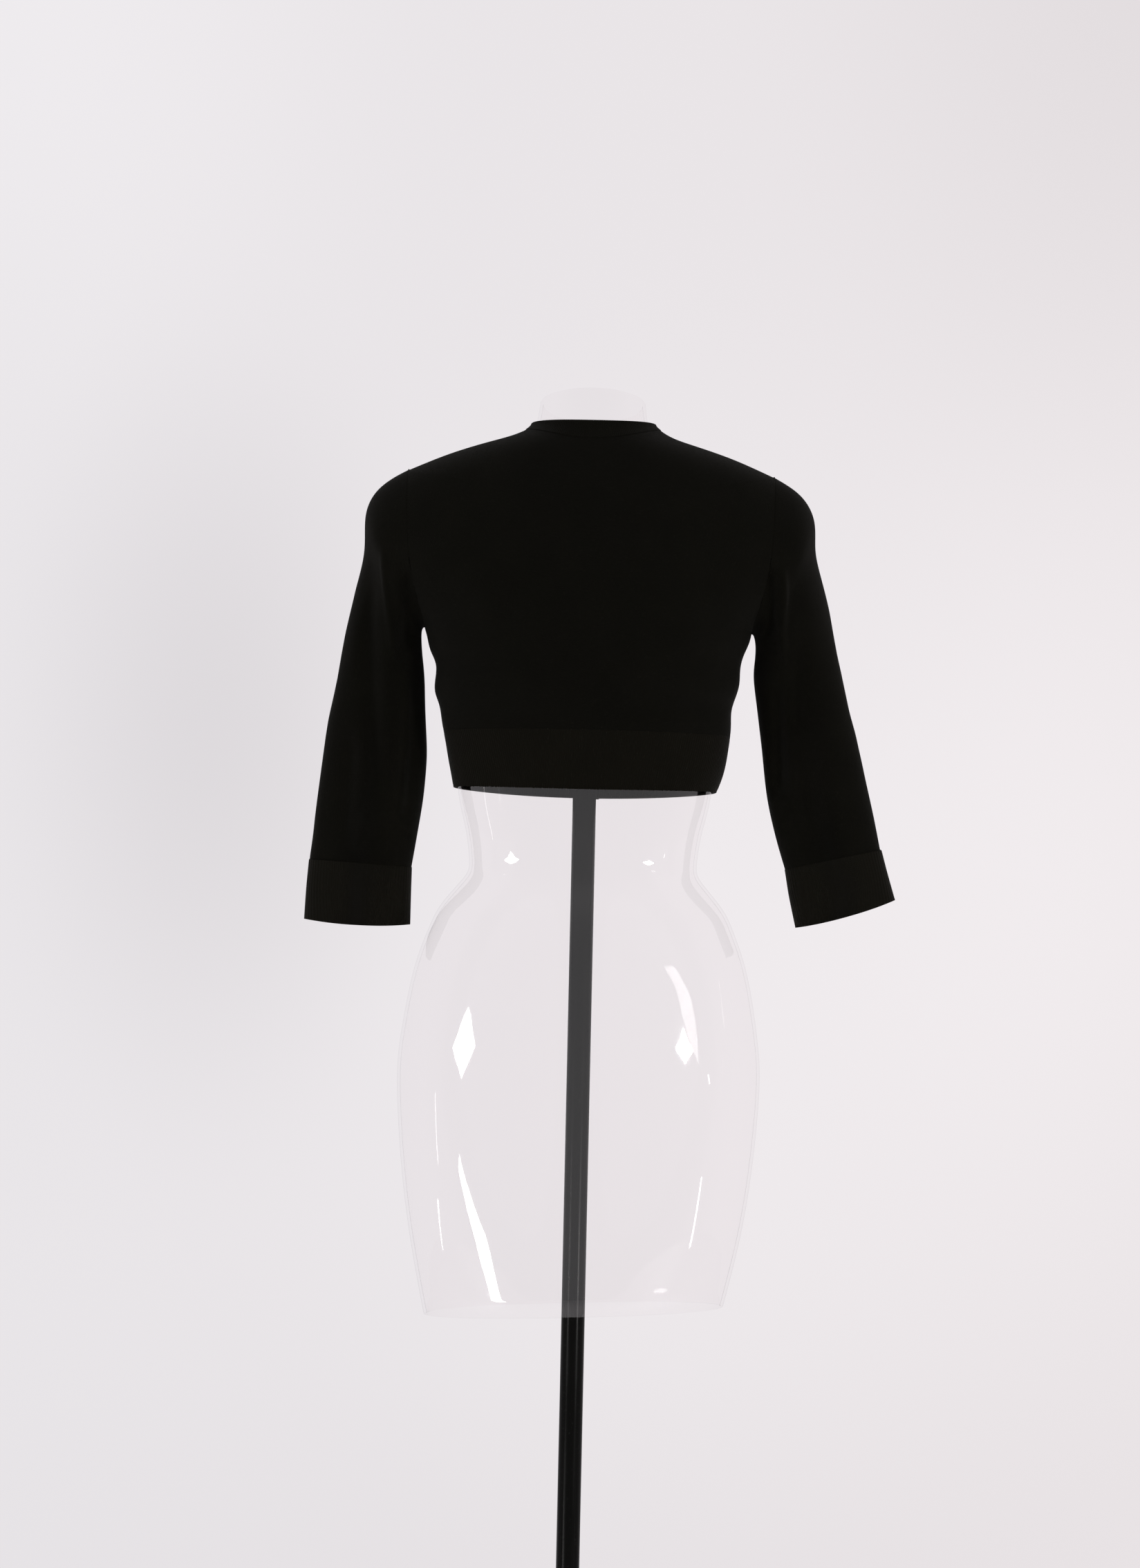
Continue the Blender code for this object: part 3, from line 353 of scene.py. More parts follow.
def knitted(name, colour, fuzz_and_highlight, wale, course, depth, ribs=0.0, level=0.045, sheen=0.018):
    """Plain knit stitches on the piece's own map, in metres; ribs is the pitch of a rib in mm."""
    finish, tree, shader = new_finish(name, colour, 0.86, Specular_IOR_Level=level, Sheen_Weight=sheen,
                                      Sheen_Roughness=0.42, Sheen_Tint=(0.92, 0.90, 0.86, 1))
    spots = add(tree, "ShaderNodeUVMap")
    spots.uv_map = "knit"
    uv = add(tree, "ShaderNodeSeparateXYZ", Vector=spots.outputs[0])
    across = add(tree, "ShaderNodeMath", operation="MULTIPLY", i0=uv.outputs[0], i1=1 / (wale * MM))
    along = add(tree, "ShaderNodeMath", operation="MULTIPLY", i0=uv.outputs[1], i1=1 / (course * MM))
    part = add(tree, "ShaderNodeMath", operation="FRACT", i0=across.outputs[0])
    off = add(tree, "ShaderNodeMath", operation="SUBTRACT", i0=part.outputs[0], i1=0.5)
    leg = add(tree, "ShaderNodeMath", operation="ABSOLUTE", i0=off.outputs[0])
    lean = add(tree, "ShaderNodeMath", operation="MULTIPLY_ADD", i0=leg.outputs[0], i1=-1.7,
               i2=along.outputs[0])
    turn = add(tree, "ShaderNodeMath", operation="MULTIPLY", i0=lean.outputs[0], i1=2 * math.pi)
    loop = add(tree, "ShaderNodeMath", operation="COSINE", i0=turn.outputs[0])
    loop = add(tree, "ShaderNodeMath", operation="MULTIPLY_ADD", i0=loop.outputs[0], i1=0.25, i2=0.75)
    width = add(tree, "ShaderNodeMath", operation="MULTIPLY", i0=leg.outputs[0], i1=2 * math.pi)
    body = add(tree, "ShaderNodeMath", operation="SINE", i0=width.outputs[0])
    stitch = add(tree, "ShaderNodeMath", operation="MULTIPLY", i0=body.outputs[0], i1=loop.outputs[0])
    height = stitch.outputs[0]
    if ribs:
        swing = add(tree, "ShaderNodeMath", operation="MULTIPLY", i0=uv.outputs[0],
                    i1=2 * math.pi / (ribs * MM))
        swing = add(tree, "ShaderNodeMath", operation="SINE", i0=swing.outputs[0])
        height = add(tree, "ShaderNodeMath", operation="MULTIPLY_ADD", i0=swing.outputs[0], i1=1.3,
                     i2=height).outputs[0]
    place = add(tree, "ShaderNodeTexCoord").outputs["Object"]
    nap = add(tree, "ShaderNodeTexNoise", Vector=place, Scale=1500.0, Detail=2.0)
    height = add(tree, "ShaderNodeMath", operation="MULTIPLY_ADD", i0=nap.outputs["Fac"], i1=0.35,
                 i2=height).outputs[0]
    bump = add(tree, "ShaderNodeBump", Strength=1.0, Distance=depth * MM, Height=height)
    tree.links.new(bump.outputs[0], shader.inputs["Normal"])
    wear = add(tree, "ShaderNodeTexNoise", Vector=place, Scale=22.0, Detail=5.0)
    lint = add(tree, "ShaderNodeTexNoise", Vector=place, Scale=420.0, Detail=3.0)
    fluff = add(tree, "ShaderNodeMapRange", Value=lint.outputs["Fac"], From_Min=0.58, From_Max=0.78,
                To_Max=0.4)
    rubbed = add(tree, "ShaderNodeMapRange", Value=wear.outputs["Fac"], From_Min=0.35, From_Max=0.8,
                 To_Max=0.22)
    # The colour is painted lighter on the crowns of the stitch loops than in their hollows, a painted
    # highlight and shade; worn patches and specks of lint lighten it too.
    stitch_highlight_wear_and_lint = add(tree, "ShaderNodeMath", operation="MULTIPLY_ADD", i0=stitch.outputs[0], i1=0.25,
              i2=rubbed.outputs[0])
    stitch_highlight_wear_and_lint = add(tree, "ShaderNodeMath", operation="ADD", i0=stitch_highlight_wear_and_lint.outputs[0], i1=fluff.outputs[0])
    tone = add(tree, "ShaderNodeMix", data_type="RGBA", i0=stitch_highlight_wear_and_lint.outputs[0], i6=colour, i7=fuzz_and_highlight)
    tree.links.new(tone.outputs[2], shader.inputs["Base Color"])
    return finish


def pressed(fine, creases):
    """Moves the fine mesh along soft ridges and troughs.
    Each is (side, height in mm, half width, points), its points in mm across and up on that side."""
    count = len(fine.vertices)
    co = np.empty(count * 3)
    fine.vertices.foreach_get("co", co)
    co = co.reshape(-1, 3)
    normal = np.empty(count * 3)
    fine.vertex_normals.foreach_get("vector", normal)
    normal = normal.reshape(-1, 3)
    faces_way = {"back": (1, 1), "front": (1, -1), "plus": (0, 1), "minus": (0, -1)}
    for side, height, half_width, points in creases:
        axis, sign = faces_way[side]
        flat = co[:, [1 - axis, 2]] / MM
        facing = np.clip((normal[:, axis] * sign + 0.05) / 0.55, 0, 1)
        near = np.full(count, 1e9)
        route = np.array(points, float)
        for a, b in zip(route, route[1:]):
            way = b - a
            along = np.clip(((flat - a) @ way) / (way @ way), 0, 1)
            near = np.minimum(near, np.linalg.norm(flat - a - along[:, None] * way, axis=1))
        span = np.linalg.norm(route[-1] - route[0])
        way = (route[-1] - route[0]) / span
        place = ((flat - route[0]) @ way) / span
        fade = np.clip(np.minimum(place, 1 - place) / 0.3 + 0.35, 0, 1)
        fade = fade * fade * (3 - 2 * fade)
        shift = height * MM * np.exp(-(near / half_width) ** 2) * facing * fade
        co = co + normal * shift[:, None]
    fine.vertices.foreach_set("co", co.reshape(-1))
    fine.update()


def mapped(fine, middle, radius):
    """The knit's map in metres: round the tube about its middle line, and up along it."""
    layer = fine.uv_layers.new(name="knit")
    count = len(fine.vertices)
    co = np.empty(count * 3)
    fine.vertices.foreach_get("co", co)
    co = co.reshape(-1, 3)
    centre = middle(co[:, 2])
    angle = np.arctan2(co[:, 0] - centre, co[:, 1])
    full = 2 * math.pi
    spots = np.empty((len(fine.loops), 2))
    for face in fine.polygons:
        verts = [fine.loops[i].vertex_index for i in face.loop_indices]
        turns = angle[verts]
        if turns.max() - turns.min() > math.pi:
            turns = np.where(turns < 0, turns + full, turns)
        for i, vert, turn in zip(face.loop_indices, verts, turns):
            spots[i] = (turn * radius, co[vert, 2])
    layer.data.foreach_set("uv", spots.reshape(-1))


skins = {}


def cloth(name, node, middle, radius, creases, thick, finish, own_middle=False,
          levels=2):
    """A piece of cloth on its CAD wall's form, with its folds pressed in and its knit mapped."""
    fine = smoothed(outer_skin((node,), own_middle), levels)
    pressed(fine, creases)
    mapped(fine, middle, radius)
    skins[name] = fine.copy()
    piece = thickened(name, fine, thick, finish)
    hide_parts(node)


def on_axis(height):
    """The body's middle line, which is the pole's own axis at every height."""
    return np.zeros_like(height)


BACK_CREASES = (("back", -1.6, 7, ((152, 1309), (112, 1318), (70, 1316))),
                ("back", 1.1, 6, ((156, 1291), (120, 1297), (84, 1300))),
                ("back", -1.3, 8, ((-156, 1306), (-118, 1314), (-66, 1309))),
                ("back", 1.0, 7, ((-150, 1283), (-112, 1288), (-80, 1296))),
                ("back", -1.2, 9, ((-149, 1266), (-104, 1270), (-40, 1262))),
                ("back", -1.0, 12, ((128, 1418), (96, 1384), (74, 1352))),
                ("back", -1.0, 12, ((-134, 1424), (-104, 1392), (-84, 1356))),
                ("back", 0.8, 14, ((10, 1262), (34, 1300), (28, 1350))))
jersey = knitted("jersey", JERSEY_BLACK, JERSEY_FUZZ_AND_HIGHLIGHT, WALE, COURSE, 0.22)
cloth("back_panel", "back", on_axis, BODY_MAP_RADIUS, BACK_CREASES, JERSEY_THICK, jersey)

# The fronts are two more panels of the same jersey, each from its side seam to its button
# band. The same short folds run in from the sides, and a faint one drops from each shoulder.
FRONT_CREASES = (("front", -1.5, 7, ((150, 1307), (116, 1316), (76, 1312))),
                 ("front", 1.0, 6, ((152, 1290), (120, 1296), (90, 1297))),
                 ("front", -1.3, 8, ((-152, 1304), (-114, 1312), (-72, 1309))),
                 ("front", -1.1, 9, ((-147, 1268), (-106, 1272), (-58, 1266))),
                 ("front", -1.1, 11, ((132, 1428), (112, 1400), (98, 1366))),
                 ("front", -1.0, 12, ((-130, 1420), (-108, 1396), (-90, 1362))),
                 ("front", 0.8, 13, ((60, 1262), (52, 1292), (56, 1330))))
cloth("front_panel_left", "front_left", on_axis, BODY_MAP_RADIUS, FRONT_CREASES, JERSEY_THICK, jersey)
cloth("front_panel_right", "front_right", on_axis, BODY_MAP_RADIUS, FRONT_CREASES, JERSEY_THICK, jersey)

# The sleeves are set in, cut to three-quarter length with a rounded head, and knitted in the
# same jersey. They hang empty beside the form, so long soft folds run down from the armholes.
SLEEVE_LEFT_CREASES = (("back", 3.4, 4, ((211, 1424), (207, 1385), (202, 1350), (198, 1316))),
                       ("back", -6.0, 10, ((226, 1424), (226, 1354), (222, 1290), (215, 1216), (213, 1176))),
                       ("back", -6.0, 7, ((188, 1406), (184, 1368), (183, 1328))),
                       ("back", 4.0, 6, ((186, 1304), (185, 1240), (188, 1190), (192, 1150))),
                       ("back", -3.0, 9, ((240, 1236), (243, 1180), (247, 1124))),
                       ("back", 2.2, 7, ((222, 1160), (226, 1136), (232, 1118))),
                       ("front", -1.7, 8, ((186, 1392), (184, 1330), (188, 1262))),
                       ("front", 1.3, 7, ((205, 1404), (206, 1340), (204, 1282))),
                       ("front", -1.6, 12, ((226, 1300), (230, 1230), (229, 1160))),
                       ("plus", -1.5, 10, ((-6, 1380), (-10, 1320), (-4, 1260))),
                       ("plus", -1.4, 12, ((4, 1230), (0, 1170), (-8, 1120))))
SLEEVE_RIGHT_CREASES = (("back", 6.0, 4, ((-197, 1412), (-198, 1384), (-198, 1350), (-201, 1322))),
                        ("back", -6.0, 6, ((-184, 1414), (-184, 1384), (-186, 1350))),
                        ("back", -5.5, 8, ((-194, 1296), (-196, 1240), (-198, 1186))),
                        ("back", -3.6, 9, ((-217, 1344), (-216, 1296), (-218, 1254))),
                        ("back", 1.1, 10, ((-222, 1250), (-228, 1200), (-236, 1140))),
                        ("back", -1.2, 12, ((-240, 1236), (-246, 1180), (-252, 1130))),
                        ("front", -1.7, 8, ((-190, 1388), (-192, 1326), (-197, 1256))),
                        ("front", 1.3, 8, ((-206, 1400), (-209, 1338), (-212, 1280))),
                        ("front", -1.5, 12, ((-226, 1290), (-234, 1226), (-242, 1158))),
                        ("minus", -1.4, 10, ((-8, 1370), (-4, 1312), (-10, 1256))),
                        ("minus", -1.3, 12, ((2, 1216), (-2, 1166), (-8, 1110))))
SLEEVE_MAP_RADIUS = 0.046


def sleeve_middle(node):
    """The sleeve's middle line, as a curve of x against height."""
    co = np.array([v.co for v in cad[node].data.vertices])
    bands = np.linspace(co[:, 2].min() + 0.01, co[:, 2].max() - 0.03, 9)
    found = []
    for level in bands:
        near = co[np.abs(co[:, 2] - level) < 0.02]
        found.append((near[:, 0].min() + near[:, 0].max()) / 2)
    curve = np.polyfit(bands, found, 2)
    return lambda height: np.polyval(curve, height)


cloth("sleeve_left_jersey", "sleeve_left", sleeve_middle("sleeve_left"), SLEEVE_MAP_RADIUS,
      SLEEVE_LEFT_CREASES, JERSEY_THICK, jersey, own_middle=True, levels=3)
cloth("sleeve_right_jersey", "sleeve_right", sleeve_middle("sleeve_right"), SLEEVE_MAP_RADIUS,
      SLEEVE_RIGHT_CREASES, JERSEY_THICK, jersey, own_middle=True, levels=3)

# The cuffs are deep tubes of one-and-one rib, linked to the sleeves stitch by stitch. The rib
# is a heavier yarn than the jersey, a shade warmer, and stands a little proud of it. Its colour
# is painted lighter than the jersey's for the light its ridges catch, a painted highlight.
RIB_BLACK = (0.0034, 0.0031, 0.0017, 1)
RIB_FUZZ_AND_HIGHLIGHT = (0.0080, 0.0073, 0.0048, 1)
RIB_THICK = 2.6
RIB_PITCH = 2.4
RIB_COURSE = 1.1
CUFF_MAP_RADIUS = 0.050
ribbing = knitted("ribbing", RIB_BLACK, RIB_FUZZ_AND_HIGHLIGHT, RIB_PITCH / 2, RIB_COURSE, 0.16, ribs=RIB_PITCH,
                  level=0.055, sheen=0.026)
cloth("cuff_left_rib", "cuff_left", sleeve_middle("cuff_left"), CUFF_MAP_RADIUS, (), RIB_THICK, ribbing,
      own_middle=True)
cloth("cuff_right_rib", "cuff_right", sleeve_middle("cuff_right"), CUFF_MAP_RADIUS, (), RIB_THICK, ribbing,
      own_middle=True)

# The waistband is the same rib, knitted in one depth all round and joined at the side seams.
# It grips the waist, so it is drawn smooth. Its colour is a painted shade darker than the cuffs',
# though still painted lighter than the jersey's.
WAIST_BLACK = (0.0028, 0.0025, 0.0012, 1)
WAIST_FUZZ_AND_HIGHLIGHT = (0.0068, 0.0061, 0.0038, 1)
WAIST_MAP_RADIUS = 0.125
waist_ribbing = knitted("waist_ribbing", WAIST_BLACK, WAIST_FUZZ_AND_HIGHLIGHT, RIB_PITCH / 2, RIB_COURSE, 0.14,
                        ribs=RIB_PITCH, level=0.05, sheen=0.022)
cloth("waistband_back_rib", "waistband_back", on_axis, WAIST_MAP_RADIUS, (), RIB_THICK, waist_ribbing)
cloth("waistband_left_rib", "waistband_front_left", on_axis, WAIST_MAP_RADIUS, (), RIB_THICK, waist_ribbing)
cloth("waistband_right_rib", "waistband_front_right", on_axis, WAIST_MAP_RADIUS, (), RIB_THICK,
      waist_ribbing)

# The neckband is one narrow strip of the rib, linked round the neck; its ends lap at the
# front with the button bands, the right one over the left. It is drawn tight and looks as dark
# as the body.
NECK_MAP_RADIUS = 0.080
tight_ribbing = knitted("tight_ribbing", JERSEY_BLACK, JERSEY_FUZZ_AND_HIGHLIGHT, RIB_PITCH / 2, RIB_COURSE, 0.12,
                        ribs=RIB_PITCH)
cloth("neckband_rib", "neckband", on_axis, NECK_MAP_RADIUS, (), RIB_THICK, tight_ribbing)

# The button bands are two rib strips down the front edges. The left one lies under and holds
# the buttons, and the right one lies over it and has the buttonholes.
BAND_MAP_RADIUS = 0.110
cloth("band_under_rib", "button_band_left", on_axis, BAND_MAP_RADIUS, (), RIB_THICK, ribbing)
cloth("band_over_rib", "button_band_right", on_axis, BAND_MAP_RADIUS, (), RIB_THICK, ribbing)

# The pieces are linked together with a chain of the same yarn, which lies as a fine cord
# along every seam: shoulders, sides, armholes, waist, cuffs, neck and bands.
CHAIN_RADIUS = 0.6
CHAIN_SUNK = 0.4
SEAM_REACH = 3.5
LAP_REACH = 5.5
chain_yarn = knitted("chain_yarn", JERSEY_BLACK, JERSEY_FUZZ_AND_HIGHLIGHT, 1.0, 0.8, 0.10)


def border(fine):
    """The free edges of a fine mesh as ordered rings of vertex numbers."""
    bm = bmesh.new()
    bm.from_mesh(fine)
    left = {e for e in bm.edges if e.is_boundary}
    rings = []
    while left:
        edge = left.pop()
        start, vert = edge.verts
        ring = [start.index, vert.index]
        while vert != start:
            edge = next((e for e in vert.link_edges if e in left), None)
            if edge is None:
                break
            left.remove(edge)
            vert = edge.other_vert(vert)
            ring.append(vert.index)
        rings.append(ring)
    bm.free()
    return rings


def linked(name, first, second, reach):
    """The chain along the edge that two skins share."""
    a, b = skins[first], skins[second]
    tree_b = KDTree(len(b.vertices))
    marks = sorted({i for ring in border(b) for i in ring})
    for i in marks:
        tree_b.insert(b.vertices[i].co, i)
    tree_b.balance()
    curve = bpy.data.curves.new(name, "CURVE")
    curve.dimensions = "3D"
    curve.bevel_depth = CHAIN_RADIUS * MM
    curve.bevel_resolution = 1
    curve.use_fill_caps = True
    for ring in border(a):
        runs, run = [], []
        for i in ring:
            spot, k, distance = tree_b.find(a.vertices[i].co)
            if distance is not None and distance < reach * MM:
                out = (a.vertices[i].normal + b.vertices[k].normal).normalized()
                run.append((a.vertices[i].co + spot) / 2 - out * CHAIN_SUNK * MM)
            elif run:
                runs.append(run)
                run = []
        if run:
            if runs and len(run) < len(ring) and ring[0] == ring[-1]:
                runs[0] = run[:-1] + runs[0]
            else:
                runs.append(run)
        for run in runs:
            if len(run) < 6:
                continue
            if run[0] != run[-1]:
                run = run[1:-1]
            line = curve.splines.new("POLY")
            line.points.add(len(run) - 1)
            line.points.foreach_set("co", [c for p in run for c in (*p, 1)])
    holder = bpy.data.objects.new(name, curve)
    bpy.context.scene.collection.objects.link(holder)
    mesh = bpy.data.meshes.new_from_object(holder.evaluated_get(bpy.context.evaluated_depsgraph_get()))
    bpy.data.objects.remove(holder)
    bm = bmesh.new()
    bm.from_mesh(mesh)
    for layer in list(bm.loops.layers.uv):
        bm.loops.layers.uv.remove(layer)
    spots = bm.loops.layers.uv.new("knit")
    for face in bm.faces:
        for loop in face.loops:
            co = loop.vert.co
            loop[spots].uv = (co.x + co.y, co.z)
    shown(name, bm, chain_yarn, 60)


SEAMS = (("side_and_shoulder_left", "back_panel", "front_panel_left"),
         ("side_and_shoulder_right", "back_panel", "front_panel_right"),
         ("armhole_left_back", "sleeve_left_jersey", "back_panel"),
         ("armhole_left_front", "sleeve_left_jersey", "front_panel_left"),
         ("armhole_right_back", "sleeve_right_jersey", "back_panel"),
         ("armhole_right_front", "sleeve_right_jersey", "front_panel_right"),
         ("waist_seam_back", "waistband_back_rib", "back_panel"),
         ("waist_seam_left", "waistband_left_rib", "front_panel_left"),
         ("waist_seam_right", "waistband_right_rib", "front_panel_right"),
         ("waist_side_left", "waistband_back_rib", "waistband_left_rib"),
         ("waist_side_right", "waistband_back_rib", "waistband_right_rib"),
         ("neck_seam_back", "back_panel", "neckband_rib"),
         ("neck_seam_left", "front_panel_left", "neckband_rib"),
         ("neck_seam_right", "front_panel_right", "neckband_rib"),
         ("cuff_seam_left", "cuff_left_rib", "sleeve_left_jersey"),
         ("cuff_seam_right", "cuff_right_rib", "sleeve_right_jersey"),
         ("band_seam_left", "front_panel_left", "band_under_rib"),
         ("band_seam_right", "front_panel_right", "band_over_rib"))
for seam, first, second in SEAMS:
    linked(seam, first, second, LAP_REACH if seam == "band_seam_right" else SEAM_REACH)

# The buttons are small round black polyester buttons, turned with a raised rim and a dished
# face, and sewn on through four holes with two bars of black thread.
BUTTON_RADIUS = 6.2
HOLE_RADIUS = 0.75
HOLE_APART = 1.45
DISC_THICK = 1.5
BUTTON_SEAT = 1.3
RIM_SECTION = ((4.9, 0.1), (5.7, 0.0), (6.1, 0.35), (6.2, 1.0), (6.2, 1.7), (6.0, 2.3), (5.5, 2.6),
               (5.0, 2.45), (4.7, 1.9), (4.6, 1.2))
THREAD_RADIUS = 0.2
STRAND_STEP = 0.28
BAR_HEIGHT = 1.62
SHANK_LONG = 2.2
SHANK_MIDDLE = 0.62
SHANK_IN = 0.05
BUTTON_TURNS = (7, -12, 4, 15, -6, 10, -3)
button_black, tree, shader = new_finish("button_black", (0.010, 0.010, 0.011, 1), 0.22,
                                        Specular_IOR_Level=0.3)
place = add(tree, "ShaderNodeTexCoord").outputs["Object"]
cloud = add(tree, "ShaderNodeTexNoise", Vector=place, Scale=160.0, Detail=3.0)
tone = add(tree, "ShaderNodeMix", data_type="RGBA", i0=cloud.outputs["Fac"], i6=(0.005, 0.005, 0.006, 1),
           i7=(0.012, 0.012, 0.013, 1))
tree.links.new(tone.outputs[2], shader.inputs["Base Color"])
rough = add(tree, "ShaderNodeMapRange", Value=cloud.outputs["Fac"], From_Min=0.3, From_Max=0.7, To_Min=0.16,
            To_Max=0.3)
tree.links.new(rough.outputs[0], shader.inputs["Roughness"])
sewing_thread = sprayed("sewing_thread", (0.012, 0.011, 0.011, 1), 0.7, 0.2)


def button_body():
    """A button at the origin, its face towards +Z: disc with four holes, and a rolled rim."""
    bm = bmesh.new()
    bmesh.ops.create_circle(bm, cap_ends=False, segments=40, radius=(BUTTON_RADIUS - 0.9) * MM)
    for x in (-1, 1):
        for y in (-1, 1):
            spot = Matrix.Translation((x * HOLE_APART * MM, y * HOLE_APART * MM, 0))
            bmesh.ops.create_circle(bm, cap_ends=False, segments=12, radius=HOLE_RADIUS * MM, matrix=spot)
    bmesh.ops.triangle_fill(bm, use_beauty=True, use_dissolve=False, edges=bm.edges[:])
    for face in bm.faces:
        if face.normal.z < 0:
            face.normal_flip()
    grown = bmesh.ops.extrude_face_region(bm, geom=bm.faces[:])["geom"]
    grown = [part for part in grown if isinstance(part, bmesh.types.BMVert)]
    bmesh.ops.translate(bm, verts=grown, vec=(0, 0, DISC_THICK * MM))
    bmesh.ops.recalc_face_normals(bm, faces=bm.faces)
    sharp = [e for e in bm.edges if e.is_manifold and e.calc_face_angle() > math.radians(60)]
    bmesh.ops.bevel(bm, geom=sharp, offset=0.15 * MM, offset_type="OFFSET", affect="EDGES", segments=2,
                    profile=0.5, material=-1, clamp_overlap=True)
    rim = bmesh.new()
    section = [rim.verts.new((radius * MM, 0, height * MM)) for radius, height in RIM_SECTION]
    edges = [rim.edges.new(pair) for pair in zip(section, section[1:] + section[:1])]
    bmesh.ops.spin(rim, geom=section + edges, axis=(0, 0, 1), cent=(0, 0, 0), angle=2 * math.pi, steps=48,
                   use_merge=True)
    bmesh.ops.remove_doubles(rim, verts=rim.verts, dist=1e-6)
    bmesh.ops.recalc_face_normals(rim, faces=rim.faces)
    ring_mesh = bpy.data.meshes.new("rim")
    rim.to_mesh(ring_mesh)
    rim.free()
    bm.from_mesh(ring_mesh)
    bpy.data.meshes.remove(ring_mesh)
    return bm


def thread_bars():
    """Two bars of thread over the button's face, and the shank of thread below it."""
    bm = bmesh.new()
    for y in (-1, 1):
        for strand in (-STRAND_STEP, 0.0, STRAND_STEP):
            bar = bmesh.ops.create_cone(bm, cap_ends=True, segments=8, radius1=THREAD_RADIUS * MM,
                                        radius2=THREAD_RADIUS * MM, depth=2 * HOLE_APART * MM)["verts"]
            bmesh.ops.rotate(bm, verts=bar, cent=(0, 0, 0), matrix=Matrix.Rotation(math.pi / 2, 3, "Y"))
            bmesh.ops.translate(bm, verts=bar, vec=(0, (y * HOLE_APART + strand) * MM, BAR_HEIGHT * MM))
            for x in (-1, 1):
                drop = bmesh.ops.create_cone(bm, cap_ends=True, segments=8, radius1=THREAD_RADIUS * MM,
                                             radius2=THREAD_RADIUS * MM, depth=SHANK_LONG * MM)["verts"]
                bmesh.ops.translate(bm, verts=drop, vec=(x * (HOLE_APART - SHANK_IN) * MM,
                                                         (y * HOLE_APART + strand) * MM, SHANK_MIDDLE * MM))
    return bm


SLOT_LONG = 7.2
SLOT_WIDE = 1.15
SLOT_SUNK = 0.45
SLOT_STITCHES = 44
STITCH_RADIUS = 0.42
for number, turned_by in enumerate(BUTTON_TURNS, 1):
    node = "button_%d" % number
    mesh = cad[node].data
    low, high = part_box(node)
    way = Vector()
    for face in mesh.polygons:
        if face.normal.y < -0.5:
            way += face.normal * face.area
    way.normalize()
    centre = (low + high) / 2
    seat = centre - way * BUTTON_SEAT * MM
    place = Matrix.Translation(seat) @ Vector((0, 0, 1)).rotation_difference(way).to_matrix().to_4x4()
    spin = Matrix.Rotation(math.radians(turned_by), 4, "Z")
    bm = button_body()
    bmesh.ops.transform(bm, verts=bm.verts, matrix=place @ spin)
    button = shown("sewn_button_%d" % number, bm, button_black, 40)
    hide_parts(node)
    bm = thread_bars()
    bmesh.ops.transform(bm, verts=bm.verts, matrix=place @ spin)
    shown("button_thread_%d" % number, bm, sewing_thread, 60)
    # Each buttonhole is a level slot in the upper band, its edge overcast with close thread.
    bm = bmesh.new()
    for k in range(SLOT_STITCHES):
        turn = 2 * math.pi * k / SLOT_STITCHES
        x, y = SLOT_LONG * math.cos(turn), SLOT_WIDE * math.sin(turn)
        stitch = bmesh.ops.create_uvsphere(bm, u_segments=6, v_segments=4, radius=STITCH_RADIUS * MM)["verts"]
        bmesh.ops.scale(bm, verts=stitch, vec=(0.8, 1.7, 0.7))
        lean = math.atan2(math.sin(turn) * SLOT_LONG, math.cos(turn) * SLOT_WIDE) - math.pi / 2
        bmesh.ops.rotate(bm, verts=stitch, cent=(0, 0, 0), matrix=Matrix.Rotation(lean, 3, "Z"))
        bmesh.ops.translate(bm, verts=stitch, vec=(x * MM, y * MM, -SLOT_SUNK * MM))
    bmesh.ops.transform(bm, verts=bm.verts, matrix=place)
    shown("buttonhole_%d" % number, bm, sewing_thread, 60)

# The studio: a pale floor disc under the stand, and soft light all round from pale walls.
# Two softboxes stand on a corner left and right of the camera and light the room. The five
# strips by them light nothing dull, and show only in what is glossy.
FLOOR_RADIUS = 3.8
FLOOR_MIDDLE = 1.2
bm = bmesh.new()
bmesh.ops.create_circle(bm, cap_ends=True, segments=96, radius=FLOOR_RADIUS,
                        matrix=Matrix.Translation((0, FLOOR_MIDDLE, -0.0006)))
floor_mesh = bpy.data.meshes.new("studio_floor")
bm.to_mesh(floor_mesh)
bm.free()
studio_floor = bpy.data.objects.new("studio_floor", floor_mesh)
bpy.context.scene.collection.objects.link(studio_floor)
floor_paint = new_finish("floor_paint", (0.90, 0.885, 0.89, 1), 0.7, Specular_IOR_Level=0.2)[0]
floor_mesh.materials.append(floor_paint)

WALL_LEFT = (0.812, 0.789, 0.812, 1)
WALL_RIGHT = (0.823, 0.780, 0.795, 1)
ROOM_GREY = (0.44, 0.435, 0.44, 1)
# The wall's light is uneven, and its light and shade are painted into its colour; the second patch is the
# painted soft shadow of the form. Each soft patch is (across, up, half width, half height, brighter by).
WALL_PATCHES = ((-0.03, 0.0, 0.12, 0.16, 0.048),
                (0.076, 0.05, 0.055, 0.10, -0.085),
                (-0.11, 0.03, 0.08, 0.13, 0.040),
                (0.117, 0.20, 0.10, 0.13, 0.045),
                (-0.117, 0.21, 0.10, 0.13, -0.055),
                (0.0, -0.16, 0.30, 0.12, -0.040))
world = bpy.data.worlds.new("studio_walls")
bpy.context.scene.world = world
world.use_nodes = True
tree = world.node_tree
walls = tree.nodes["Background"]
spot = add(tree, "ShaderNodeTexCoord").outputs["Generated"]
parts = add(tree, "ShaderNodeSeparateXYZ", Vector=spot)
sideways = add(tree, "ShaderNodeMapRange", Value=parts.outputs[0], From_Min=0.14, From_Max=-0.14)
tone = add(tree, "ShaderNodeMix", data_type="RGBA", i0=sideways.outputs[0], i6=WALL_LEFT,
           i7=WALL_RIGHT).outputs[2]
far_wall = add(tree, "ShaderNodeMath", operation="LESS_THAN", i0=parts.outputs[1], i1=0.0).outputs[0]
